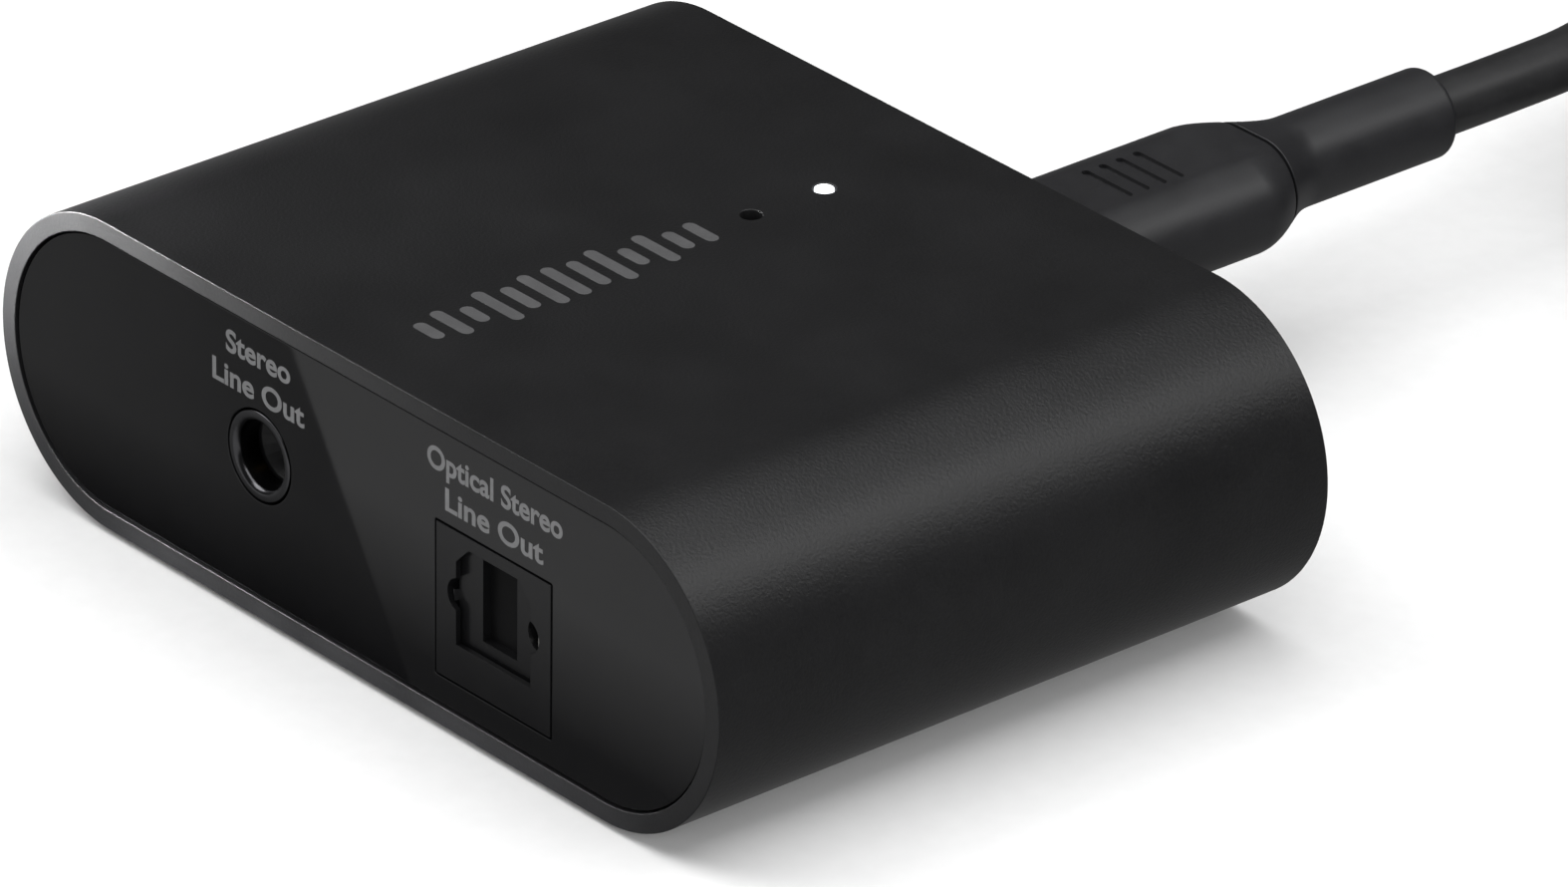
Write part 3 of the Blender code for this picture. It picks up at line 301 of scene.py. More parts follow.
def add(tree, kind, inputs=None, **settings):
    """Adds a node, sets its properties, and sets or links its inputs."""
    made = tree.nodes.new(kind)
    for key, value in settings.items():
        setattr(made, key, value)
    for key, value in (inputs or {}).items():
        if isinstance(value, bpy.types.NodeSocket):
            tree.links.new(value, made.inputs[key])
        else:
            made.inputs[key].default_value = value
    return made


def ramp(tree, factor, low, high, start=0.35, end=0.65):
    """Two colours mixed by a factor between two places."""
    made = add(tree, "ShaderNodeValToRGB", {"Fac": factor})
    made.color_ramp.elements[0].position = start
    made.color_ramp.elements[0].color = low
    made.color_ramp.elements[1].position = end
    made.color_ramp.elements[1].color = high
    return made.outputs["Color"]


def noise(tree, coords, size, detail=3.0, roughness=0.55):
    """Noise whose lumps are about a size across, in metres."""
    inputs = {"Vector": coords, "Scale": 1 / size, "Detail": detail, "Roughness": roughness}
    return add(tree, "ShaderNodeTexNoise", inputs).outputs["Fac"]


MADE = {}


def surface(name, dark, light, rough, grain, bump, mottle=6 * MM, metallic=0.0, ior=1.5):
    """A moulded or finished surface: mottled colour, uneven gloss and a grain of a real size.

    rough is a (low, high) pair, grain the grain's width and bump its height, in metres.
    A finish asked for again is the same material."""
    if name in MADE:
        return MADE[name]
    made = bpy.data.materials.new(name)
    MADE[name] = made
    made.use_nodes = True
    tree = made.node_tree
    principled = tree.nodes["Principled BSDF"]
    coords = add(tree, "ShaderNodeTexCoord").outputs["Object"]
    fine = noise(tree, coords, grain)
    broad = noise(tree, coords, mottle, 4.0)
    mixed = add(tree, "ShaderNodeMath", {0: fine, 1: broad}, operation="ADD")
    half = add(tree, "ShaderNodeMath", {0: mixed.outputs[0], 1: 0.5}, operation="MULTIPLY").outputs[0]
    tree.links.new(ramp(tree, half, linear(dark), linear(light)), principled.inputs["Base Color"])
    spread = {"Value": broad, "From Min": 0.3, "From Max": 0.7, "To Min": rough[0], "To Max": rough[1]}
    gloss = add(tree, "ShaderNodeMapRange", spread)
    tree.links.new(gloss.outputs["Result"], principled.inputs["Roughness"])
    height = add(tree, "ShaderNodeBump", {"Height": fine, "Distance": bump, "Strength": 1.0})
    tree.links.new(height.outputs["Normal"], principled.inputs["Normal"])
    principled.inputs["Metallic"].default_value = metallic
    if not metallic:
        principled.inputs["IOR"].default_value = ior
    return made


def spark_eroded_abs():
    """Black ABS moulded against a spark-eroded tool: an even fine grain that breaks up the shine."""
    rough = (0.35, 0.38)
    return surface("spark_eroded_abs", "#0f0f10", "#171718", rough, 0.26 * MM, 0.03 * MM, 9 * MM, ior=1.42)


def blasted_abs():
    """Black ABS of the sleeve's end faces: bead-blasted, duller than the textured skin."""
    return surface("blasted_abs", "#101011", "#1a1a1b", (0.5, 0.56), 0.24 * MM, 0.02 * MM, 9 * MM, ior=1.42)


def polished_abs():
    """Black ABS from a mirror-polished tool: deep black with clear reflections, slightly wavy."""
    rough = (0.025, 0.04)
    return surface("polished_abs", "#0b0b0c", "#0e0e0f", rough, 3 * MM, 0.001 * MM, 14 * MM, ior=1.38)


def satin_abs():
    """Black ABS from a plain ground tool: soft sheen with hardly any grain, on the sockets."""
    return surface("satin_abs", "#0f0f10", "#141415", (0.2, 0.26), 0.3 * MM, 0.003 * MM, 5 * MM, ior=1.3)


def inner_abs():
    """Dark grey ABS of the tray: dull, with a coarse tool finish."""
    return surface("inner_abs", "#3a3a3c", "#48484b", (0.55, 0.68), 0.4 * MM, 0.02 * MM, 8 * MM)


def soft_pvc():
    """Black flexible PVC of the lead: a smooth satin skin with a broad soft highlight."""
    return surface("soft_pvc", "#1a1a1b", "#242425", (0.38, 0.46), 0.5 * MM, 0.006 * MM, 7 * MM, ior=1.47)


def moulded_tpe():
    """Black thermoplastic rubber moulded on the plugs: satin, with a very fine eroded grain."""
    rough = (0.4, 0.46)
    return surface("moulded_tpe", "#18181a", "#212123", rough, 0.22 * MM, 0.006 * MM, 5 * MM, ior=1.52)


def foot_rubber():
    """Black silicone rubber: dull and slightly dusty."""
    return surface("foot_rubber", "#1c1c1c", "#2b2b2a", (0.75, 0.88), 0.5 * MM, 0.02 * MM, 4 * MM)


def channel_shade_abs():
    """Black ABS at the foot of the door's channel: dull, and darker than the door's satin ABS so that it
    stays dark, as painted shade in the recess.
    """
    return surface("channel_shade_abs", "#0b0b0b", "#101011", (0.55, 0.65), 0.3 * MM, 0.006 * MM, 3 * MM, ior=1.2)


def nickel_plate():
    """Nickel-plated steel: bright with a soft, slightly uneven polish."""
    return surface("nickel_plate", "#a9a8a5", "#bdbcb8", (0.2, 0.32), 0.3 * MM, 0.003 * MM, metallic=1.0)


def black_nickel():
    """Black nickel over brass: dark, bright-edged metal of the jack's nose."""
    return surface("black_nickel", "#48484a", "#545456", (0.18, 0.26), 0.3 * MM, 0.002 * MM, metallic=1.0)


def zinc_plate():
    """Zinc-plated mild steel of the weight and screws: cool grey with a crystalline mottle."""
    return surface("zinc_plate", "#8d9095", "#a6a8ab", (0.32, 0.5), 0.8 * MM, 0.006 * MM, 3 * MM, 1.0)


def gold_plate():
    """Gold-flashed phosphor bronze of the contacts: warm and bright."""
    return surface("gold_plate", "#c79a46", "#d9b15e", (0.18, 0.28), 0.3 * MM, 0.002 * MM, metallic=1.0)


def chip_epoxy():
    """Black moulded epoxy of the chips: dull with a gritty filler."""
    return surface("chip_epoxy", "#161616", "#202020", (0.5, 0.62), 0.12 * MM, 0.006 * MM, 2 * MM)


def socket_nylon():
    """Black glass-filled nylon of the socket bodies: dull, with fibre streaks."""
    return surface("socket_nylon", "#101011", "#19191a", (0.5, 0.65), 0.35 * MM, 0.01 * MM, 3 * MM)


def ferrite():
    """Grey sintered ferrite: matte ceramic with small pores."""
    return surface("ferrite", "#3d3d40", "#4d4d50", (0.7, 0.85), 0.15 * MM, 0.01 * MM, 2 * MM)


def can_aluminium():
    """Drawn aluminium of the capacitor cans: pale, with a soft lustre."""
    return surface("can_aluminium", "#b4b5b7", "#c6c7c8", (0.28, 0.4), 0.25 * MM, 0.003 * MM, metallic=1.0)


def printed_ink():
    """Mid-grey screen-printed ink of the legends: flat, with the faint mottle of the mesh."""
    return surface("printed_ink", "#646465", "#6e6e6f", (0.5, 0.6), 0.2 * MM, 0.004 * MM, 2 * MM)


def mark_ink():
    """Darker grey screen-printed ink of the mark on the top, thinned so that it stays discreet."""
    return surface("mark_ink", "#464647", "#4e4e4f", (0.5, 0.6), 0.2 * MM, 0.004 * MM, 2 * MM)


def clear_acrylic():
    """Clear acrylic of the light source's window: smooth and water-white."""
    return surface("clear_acrylic", "#e9ecef", "#f5f6f7", (0.08, 0.14), 2 * MM, 0.002 * MM, ior=1.49)


def solder_mask():
    """Green solder mask over copper: satin lacquer, lighter where traces lie under it."""
    made = surface("solder_mask", "#0e3b22", "#14502f", (0.28, 0.4), 0.6 * MM, 0.004 * MM, 6 * MM)
    tree = made.node_tree
    principled = tree.nodes["Principled BSDF"]
    coords = add(tree, "ShaderNodeTexCoord").outputs["Object"]
    grid = {"Vector": coords, "Scale": 1 / (2.2 * MM), "Randomness": 0.55}
    traces = add(tree, "ShaderNodeTexVoronoi", grid, feature="DISTANCE_TO_EDGE", distance="EUCLIDEAN")
    lacquer = next(link for link in tree.links if link.to_socket == principled.inputs["Base Color"])
    under = lacquer.from_socket
    tree.links.remove(lacquer)
    edge = ramp(tree, traces.outputs["Distance"], linear("#1c6a3f"), linear("#0e3b22"), 0.05, 0.09)
    mixed = add(tree, "ShaderNodeMix", {"Factor": 0.45}, data_type="RGBA", blend_type="MIX")
    tree.links.new(under, mixed.inputs["A"])
    tree.links.new(edge, mixed.inputs["B"])
    tree.links.new(mixed.outputs["Result"], principled.inputs["Base Color"])
    return made


def woven_nylon():
    """Black woven nylon strap: a plain weave of threads, drawn at twice their real 0.3 mm pitch."""
    made = surface("woven_nylon", "#1a1a1c", "#262628", (0.7, 0.85), 0.3 * MM, 0.01 * MM, 3 * MM)
    tree = made.node_tree
    principled = tree.nodes["Principled BSDF"]
    coords = add(tree, "ShaderNodeTexCoord").outputs["Object"]
    pitch = 0.6 * MM
    wave = {"Vector": coords, "Scale": math.pi / (10 * pitch), "Distortion": 0.3}
    warp = add(tree, "ShaderNodeTexWave", wave, bands_direction="X")
    weft = add(tree, "ShaderNodeTexWave", wave, bands_direction="DIAGONAL")
    inputs = {0: warp.outputs["Fac"], 1: weft.outputs["Fac"]}
    threads = add(tree, "ShaderNodeMath", inputs, operation="MAXIMUM")
    bump = {"Height": threads.outputs[0], "Distance": 0.08 * MM, "Strength": 0.8}
    raised = add(tree, "ShaderNodeBump", bump)
    tree.links.new(raised.outputs["Normal"], principled.inputs["Normal"])
    principled.inputs["Sheen Weight"].default_value = 0.25
    return made


def lit_diffuser():
    """Milky acrylic lit from below: white light."""
    made = surface("lit_diffuser", "#f2f4f6", "#ffffff", (0.2, 0.3), 0.6 * MM, 0.002 * MM, 2 * MM, ior=1.49)
    principled = made.node_tree.nodes["Principled BSDF"]
    principled.inputs["Emission Color"].default_value = linear("#f7faff")
    principled.inputs["Emission Strength"].default_value = 1.6
    return made


def pale_paper():
    """White seamless paper of the floor."""
    return surface("pale_paper", "#f3f3f3", "#f7f7f7", (0.85, 0.95), 2 * MM, 0.01 * MM, 60 * MM)


# ================================================================ shapes


def arc(cx, cy, radius, start, end, steps):
    turn = [start + (end - start) * i / steps for i in range(steps + 1)]
    return [(cx + radius * math.cos(a), cy + radius * math.sin(a)) for a in turn]


def circle(radius, cx=0.0, cy=0.0, steps=ROUND_STEPS):
    return arc(cx, cy, radius, 0.0, 2 * math.pi, steps)[:-1]


def rounded(cx, cy, width, height, radius, steps=8):
    """Outline of a rectangle with round corners; a stadium when radius is half the height."""
    points = []
    for quarter, (sx, sy) in enumerate(((1, 1), (-1, 1), (-1, -1), (1, -1))):
        start = quarter * math.pi / 2
        ox = cx + sx * (width / 2 - radius)
        oy = cy + sy * (height / 2 - radius)
        points += arc(ox, oy, radius, start, start + math.pi / 2, steps)
    gap = 1e-7
    return [p for i, p in enumerate(points) if math.dist(p, points[i - 1]) > gap]


def softened(corners, radius, steps=4, guard=GUARD):
    """A closed outline whose corners are round, with a guard point beside each arc."""
    points = []
    count = len(corners)
    for i, corner in enumerate(corners):
        here = Vector(corner)
        to_last = Vector(corners[i - 1]) - here
        to_next = Vector(corners[(i + 1) % count]) - here
        half = to_last.angle(to_next) / 2
        reach = radius / math.tan(half)
        first = here + to_last.normalized() * reach
        last = here + to_next.normalized() * reach
        middle = here + (to_last.normalized() + to_next.normalized()).normalized() * radius / math.sin(half)
        points.append(first + to_last.normalized() * guard)
        for step in range(steps + 1):
            along = (first - middle).lerp(last - middle, step / steps)
            points.append(middle + along.normalized() * radius)
        points.append(last + to_next.normalized() * guard)
    return [tuple(p) for p in points]


def ring(outline, axis, at):
    """A flat outline stood across an axis, at a place along it."""
    if axis == "X":
        return [(at, u, v) for u, v in outline]
    if axis == "Y":
        return [(u, at, v) for u, v in outline]
    return [(u, v, at) for u, v in outline]


def loft(rings, closed=False):
    """A closed skin through rings of equal count, capped unless the last ring meets the first."""
    bm = bmesh.new()
    loops = [[bm.verts.new(p) for p in points] for points in rings]
    pairs = list(zip(loops, loops[1:]))
    if closed:
        pairs.append((loops[-1], loops[0]))
    else:
        bm.faces.new(loops[0])
        bm.faces.new(loops[-1])
    for a, b in pairs:
        for i in range(len(a)):
            j = (i + 1) % len(a)
            bm.faces.new((a[i], a[j], b[j], b[i]))
    bmesh.ops.recalc_face_normals(bm, faces=bm.faces)
    return bm


def prism(outline, axis, low, high):
    return loft([ring(outline, axis, low), ring(outline, axis, high)])


def block(x, y, z):
    """A box from (low, high) pairs."""
    return prism(((x[0], y[0]), (x[1], y[0]), (x[1], y[1]), (x[0], y[1])), "Z", *z)


def about(centre, size):
    """The (low, high) pair of a size about its centre."""
    return (centre - size / 2, centre + size / 2)


def turned(profile, axis, cx, cy, closed=False, steps=ROUND_STEPS):
    """A profile of (radius, place along the axis) turned about the axis through (cx, cy)."""
    return loft([ring(circle(r, cx, cy, steps), axis, t) for r, t in profile], closed)


def tube(outer, inner, axis, low, high):
    rings = ((outer, low), (outer, high), (inner, high), (inner, low))
    return loft([ring(outline, axis, at) for outline, at in rings], closed=True)


def shade(mesh, angle=30.0):
    mesh.shade_smooth()
    mesh.set_sharp_from_angle(angle=math.radians(angle))


def solid(name, bm, finish, sharp=30.0):
    """A mesh in its own place as an object with one finish."""
    mesh = bpy.data.meshes.new(name)
    bm.to_mesh(mesh)
    bm.free()
    shade(mesh, sharp)
    mesh.materials.append(finish)
    obj = bpy.data.objects.new(name, mesh)
    bpy.context.scene.collection.objects.link(obj)
    return obj


def settled(obj):
    """Turns an object with its modifiers into a plain mesh."""
    bpy.context.view_layer.update()
    depsgraph = bpy.context.evaluated_depsgraph_get()
    mesh = bpy.data.meshes.new_from_object(obj.evaluated_get(depsgraph))
    mesh.name = obj.name
    obj.modifiers.clear()
    obj.data = mesh
    return obj


def shaped(obj, tools, operation, sharp=30.0):
    """Cuts or joins tool meshes and settles the result."""
    helpers = []
    for bm in tools:
        mesh = bpy.data.meshes.new("tool")
        bm.to_mesh(mesh)
        bm.free()
        helper = bpy.data.objects.new("tool", mesh)
        bpy.context.scene.collection.objects.link(helper)
        change = obj.modifiers.new("shape", "BOOLEAN")
        change.operation = operation
        change.solver = "EXACT"
        change.object = helper
        helpers.append(helper)
    settled(obj)
    for helper in helpers:
        bpy.data.objects.remove(helper, do_unlink=True)
    shade(obj.data, sharp)
    return obj


def edged(obj, width, segments=2, angle=40.0):
    """Rounds the sharp edges a little, as a moulded piece's are."""
    bevel = obj.modifiers.new("edges", "BEVEL")
    bevel.width = width
    bevel.segments = segments
    bevel.limit_method = "ANGLE"
    bevel.angle_limit = math.radians(angle)
    bevel.use_clamp_overlap = True
    return settled(obj)


def even_faces(obj):
    """Lets the large flat faces rule the shading, so that they stay flat beside small round edges."""
    weigh = obj.modifiers.new("even_faces", "WEIGHTED_NORMAL")
    weigh.mode = "FACE_AREA"
    weigh.weight = 100
    weigh.keep_sharp = True
    return settled(obj)


def dress(obj, finish, chosen):
    """Gives the chosen faces a finish of their own."""
    obj.data.materials.append(finish)
    number = len(obj.data.materials) - 1
    for face in obj.data.polygons:
        if chosen(face):
            face.material_index = number


def give(obj, body, slot, *nodes):
    """Says what a finished piece rides on and the nodes that it stands for; its slot is not used."""
    if obj.type == "MESH":
        even_faces(obj)
    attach(obj, body)
    if nodes:
        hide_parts(*nodes)
    return obj


# ================================================================ housing

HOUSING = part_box("housing_shell")
BODY_W = HOUSING[1].x - HOUSING[0].x
BODY_H = HOUSING[1].z - HOUSING[0].z
MID_Z = (HOUSING[0].z + HOUSING[1].z) / 2
TOP_Z = HOUSING[1].z
ROOF_Z = TOP_Z - WALL
FLOOR_Z = HOUSING[0].z + WALL
PORT_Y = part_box("front_panel")[0].y
REAR_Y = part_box("rear_panel")[1].y


def stadium(inset, steps=END_STEPS):
    """The housing's section, pulled in by an inset."""
    height = BODY_H - 2 * inset
    return rounded(0.0, MID_Z, BODY_W - 2 * inset, height, height / 2, steps)


def centre_of(node):
    low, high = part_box(node)
    return (low + high) / 2


def collar(node):
    """The guide collar under the roof round a turned piece."""
    low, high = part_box(node)
    middle = (low + high) / 2
    inner = (high.x - low.x) / 2 + FIT
    bottom = ROOF_Z - COLLAR_DROP
    top = ROOF_Z + WALL / 2
    outline = circle(inner + COLLAR_WALL, 0.0, middle.y, 48)
    return tube(outline, circle(inner, 0.0, middle.y, 48), "Z", bottom, top)


def round_hole(radius, y):
    """A cutter for a hole in the top whose edge is slightly rounded."""
    lift = 0.5 * MM
    bottom = ROOF_Z - COLLAR_DROP / 4
    edge = arc(radius + HOLE_ROUND, TOP_Z - HOLE_ROUND, HOLE_ROUND, math.pi, math.pi / 2, 4)
    profile = [(radius, bottom)] + edge + [(radius + HOLE_ROUND, TOP_Z + lift)]
    return turned(profile, "Z", 0.0, y, steps=64)


def housing_sleeve():
    """The moulded sleeve with its flat rims, light hole, pinhole and foot recess."""
    front, rear = HOUSING[0].y, HOUSING[1].y
    section = softened(((0.0, front), (0.0, rear), (WALL, rear), (WALL, front)), RIM_ROUND)
    rings = [ring(stadium(inset), "Y", y) for inset, y in section]
    sleeve = solid("housing_sleeve", loft(rings, closed=True), spark_eroded_abs())
    shaped(sleeve, [collar("light_pipe"), collar("reset_plunger")], "UNION")
    low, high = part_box("foot_pad")
    recess = rounded(0.0, 0.0, high.x - low.x + 2 * SNUG, high.y - low.y + 2 * SNUG, FOOT_R, 16)
    cuts = [
        round_hole(LIGHT_HOLE_R, centre_of("light_pipe").y),
        round_hole(PINHOLE_R, centre_of("reset_plunger").y),
        prism(recess, "Z", low.z - WALL, high.z + SNUG),
    ]
    for x in (-SCREW_X, SCREW_X):
        cuts.append(prism(circle(SCREW_BORE_R, x, 0.0, 32), "Z", 0.0, FLOOR_Z + WALL))
    shaped(sleeve, cuts, "DIFFERENCE")
    towards_end = 0.2
    dress(sleeve, blasted_abs(), lambda face: abs(face.normal.y) > towards_end)
    return give(sleeve, RECEIVER, "housing_abs", "housing_shell")


def foot():
    """The rubber foot: a flat pad with a round lower edge and two wells for the screws."""
    low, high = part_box("foot_pad")
    edge = 0.25 * MM
    width = high.x - low.x
    depth = high.y - low.y
    rings = []
    for drop, z in arc(edge, low.z + edge, edge, -math.pi / 2, -math.pi, 5):
        rings.append(ring(rounded(0.0, 0.0, width - 2 * drop, depth - 2 * drop, FOOT_R - drop, 16), "Z", z))
    rings.append(ring(rounded(0.0, 0.0, width, depth, FOOT_R, 16), "Z", high.z))
    pad = solid("rubber_foot", loft(rings), foot_rubber())
    wells = [prism(circle(SCREW_HEAD_R, x, 0.0, 48), "Z", -WALL, WALL) for x in (-SCREW_X, SCREW_X)]
    shaped(pad, wells, "DIFFERENCE")
    return give(pad, RECEIVER, "foot_rubber", "foot_pad")


def hooks(outer_y, inward):
    """The two clip arms behind a panel."""
    made = []
    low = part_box("base_weight")[0].z
    for x in (-HOOK_X, HOOK_X):
        root = outer_y + inward * PANEL_T / 2
        tip = outer_y + inward * (PANEL_T + HOOK_REACH)
        tooth = tip - inward * HOOK_T
        made.append(block(about(x, HOOK_W), sorted((root, tip)), (low, low + HOOK_T)))
        drop = (low - HOOK_DROP, low + HOOK_T / 2)
        made.append(block(about(x, HOOK_W), sorted((tooth, tip)), drop))
    return made


def panel_plate(name, outer_y, inward, finish, cuts):
    """A round-ended plate with clipped arms and cut-outs, its outer edges slightly rounded."""
    outline = stadium(WALL + SNUG)
    low, high = sorted((outer_y, outer_y + inward * PANEL_T))
    plate = solid(name, prism(outline, "Y", low, high), finish)
    shaped(plate, cuts, "DIFFERENCE")
    edged(plate, PANEL_ROUND)
    return shaped(plate, hooks(outer_y, inward), "UNION")


def gloss_panel():
    """The gloss plate in front, with the jack's round window and the optical socket's square one."""
    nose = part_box("jack_nose_ring")
    jack = centre_of("jack_nose_ring")
    low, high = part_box("optical_housing")
    through = (PORT_Y - PANEL_T, PORT_Y + 2 * PANEL_T)
    width = high.x - low.x + 2 * SNUG
    window = rounded(centre_of("optical_housing").x, low.z + NOSE_H / 2, width, NOSE_H + 2 * SNUG, SNUG, 3)
    cuts = [
        prism(circle((nose[1].x - nose[0].x) / 2 + SNUG, jack.x, jack.z), "Y", *through),
        prism(window, "Y", *through),
    ]
    panel = panel_plate("gloss_panel", PORT_Y, 1, polished_abs(), cuts)
    return give(panel, RECEIVER, "panel_gloss", "front_panel")


def back_panel():
    """The textured plate behind, with the inlet's slot."""
    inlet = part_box("usb_c_shell")
    width = inlet[1].x - inlet[0].x + 2 * FIT
    height = inlet[1].z - inlet[0].z + 2 * FIT
    slot = rounded(0.0, centre_of("usb_c_shell").z, width, height, height / 2, 16)
    cuts = [prism(slot, "Y", REAR_Y - 2 * PANEL_T, REAR_Y + PANEL_T)]
    panel = panel_plate("back_panel", REAR_Y, -1, spark_eroded_abs(), cuts)
    return give(panel, RECEIVER, "housing_abs", "rear_panel")


# ================================================================ jack


def jack_nose():
    """The jack's polished nose: a flat lip, a rounded chamfer and a plain bore."""
    low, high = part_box("jack_nose_ring")
    middle = (low + high) / 2
    outer = (high.x - low.x) / 2
    lip = 0.1 * MM
    mouth = arc(JACK_CHAMFER_R, low.y + JACK_CHAMFER_DEPTH, JACK_CHAMFER_DEPTH, -math.pi / 2, -math.pi, 8)
    profile = [(outer, high.y), (outer, low.y + lip)]
    profile += arc(outer - lip, low.y + lip, lip, 0.0, -math.pi / 2, 4)
    profile += mouth
    profile += [(JACK_BORE_MOUTH_R, high.y)]
    nose = solid("jack_nose", turned(profile, "Y", middle.x, middle.z, closed=True), black_nickel())
    return give(nose, RECEIVER, "panel_gloss", "jack_nose_ring")


# ================================================================ optical socket


def opening_outline(grow=0.0):
    """The opening seen from the front: square below, corners cut off above."""
    x = centre_of("optical_housing").x
    half = OPENING_W / 2 + grow
    low = OPENING_MID_Z - OPENING_H / 2 - grow
    high = OPENING_MID_Z + OPENING_H / 2 + grow
    return (
        (x - half, low),
        (x + half, low),
        (x + half, high - OPENING_CHAMFER),
        (x + half - OPENING_CHAMFER, high),
        (x - half + OPENING_CHAMFER, high),
        (x - half, high - OPENING_CHAMFER),
    )


def optical_bezel():
    """The optical socket's housing with its square face, chamfered opening and latch notches."""
    low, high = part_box("optical_housing")
    x = (low.x + high.x) / 2
    door_low, door_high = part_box("optical_shutter")
    door_w = OPENING_W + DOOR_OVERLAP
    width = (low.x, high.x)
    inner_y = PORT_Y + PANEL_T + FIT
    nose = block(width, (PORT_Y, inner_y + FIT), (low.z, low.z + NOSE_H))
    body = solid("optical_bezel", nose, satin_abs())
    shaped(body, [block(width, (inner_y, high.y), (low.z, high.z))], "UNION")
    across = about(x, door_w + 2 * FIT)
    floor_z = door_low.z - FIT
    hinge_z = door_high.z - DOOR_T / 2
    hinge_y = PORT_Y + LIP_T + DOOR_CLEAR + DOOR_T / 2
    cuts = [
        block(across, (PORT_Y + LIP_T, CAVITY_BACK_Y), (floor_z, low.z + NOSE_H - NOSE_ROOF_T)),
        block(across, (inner_y + ROOF_T, CAVITY_BACK_Y), (OPENING_MID_Z, high.z - ROOF_T)),
        prism(opening_outline(), "Y", PORT_Y - LIP_T, PORT_Y + 2 * LIP_T),
        prism(circle(LIGHT_BORE_R, x, OPENING_MID_Z, 48), "Y", CAVITY_BACK_Y - FIT, high.y + FIT),
    ]
    for side in (-1, 1):
        notch = circle(NOTCH_R, x + side * NOTCH_OUT, OPENING_MID_Z, 48)
        socket = x + side * (door_w / 2 + TRUNNION_SOCKET)
        cuts.append(prism(notch, "Y", PORT_Y - LIP_T, PORT_Y + NOTCH_DEPTH))
        bore = circle(TRUNNION_R + FIT, hinge_y, hinge_z, 24)
        cuts.append(prism(bore, "X", *sorted((x, socket))))
    shaped(body, cuts, "DIFFERENCE")
    edged(body, SMALL_ROUND)
    return give(body, RECEIVER, "inner_abs", "optical_housing")


def spring_door():
    """The spring door: a plate with a grip channel, hung on two trunnions at its top."""
    low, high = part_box("optical_shutter")
    x = (low.x + high.x) / 2
    half_t = DOOR_T / 2
    hinge_z = high.z - half_t
    hinge_y = (low.y + high.y) / 2
    door_w = OPENING_W + DOOR_OVERLAP
    side = [(hinge_y - half_t, low.z), (hinge_y + half_t, low.z)]
    side += arc(hinge_y, hinge_z, half_t, 0.0, math.pi, 24)
    door = solid("spring_door", prism(side, "X", *about(x, door_w)), satin_abs())
    right = x + door_w / 2
    front = hinge_y - half_t
    opening_top = OPENING_MID_Z + OPENING_H / 2
    coil_room = (hinge_z - SPRING_CLEAR, high.z + DOOR_T)
    channel = (low.z + CHANNEL_FOOT, opening_top)
    cuts = [
        block((right - SPRING_ROOM, right + FIT), about(hinge_y, 2 * DOOR_T), coil_room),
        block(about(x, CHANNEL_W), (front - half_t, front + CHANNEL_DEPTH), channel),
    ]
    bite = circle(NOTCH_R, x + NOTCH_OUT + BITE_OUT, OPENING_MID_Z, 48)
    cuts.append(prism(bite, "Y", front - half_t, front + 2 * DOOR_T))
    shaped(door, cuts, "DIFFERENCE")
    edged(door, SMALL_ROUND)
    channel_floor = front + CHANNEL_DEPTH
    flush = 0.01 * MM
    # the channel's foot takes a darker finish as painted shade in the recess
    dress(door, channel_shade_abs(), lambda face: abs(face.center.y - channel_floor) < flush)
    reach = (high.x - low.x) / 2
    shaped(door, [prism(circle(TRUNNION_R, hinge_y, hinge_z, 32), "X", x - reach, x + reach)], "UNION")
    return give(door, SHUTTER, "inner_abs", "optical_shutter")


def latch_springs():
    """Bent sprung strips in the two notches, which grip a plug's sides."""
    x = centre_of("optical_housing").x
    for name, side in (("latch_spring_left", -1), ("latch_spring_right", 1)):
        outer = x + side * (NOTCH_OUT + NOTCH_R - FIT)
        inner = outer - side * LATCH_BOW
        y0 = PORT_Y + FIT
        y1 = PORT_Y + NOTCH_DEPTH - 0.1 * MM
        line = [(outer, y0), (inner, (y0 + y1) / 2), (outer, y1)]
        outline = line + [(u - side * LATCH_T, v) for u, v in reversed(line)]
        bm = prism(outline, "Z", *about(OPENING_MID_Z - LATCH_DROP, LATCH_W))
        # the two strips are one sprung steel; their two finishes, the left darker and the right brighter,
        # are painted shade and painted light
        finish = black_nickel() if side < 0 else nickel_plate()
        give(solid(name, bm, finish), RECEIVER, "steel")


# ================================================================ status light


def light_lens():
    """The light pipe: a flanged stalk whose top ends flush in the housing, with a soft edge."""
    low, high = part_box("light_pipe")
    middle = (low + high) / 2
    flange = (high.x - low.x) / 2
    stalk = LIGHT_HOLE_R - SNUG
    edge = 0.08 * MM
    shoulder = ROOF_Z - FIT
    profile = [(flange, low.z), (flange, shoulder), (stalk, shoulder)]
    profile += arc(stalk - edge, high.z - edge, edge, 0.0, math.pi / 2, 4)
    lens = solid("light_lens", turned(profile, "Z", middle.x, middle.y, steps=64), lit_diffuser())
    return give(lens, RECEIVER, "status_light", "light_pipe")


# ================================================================ rows made by Geometry Nodes


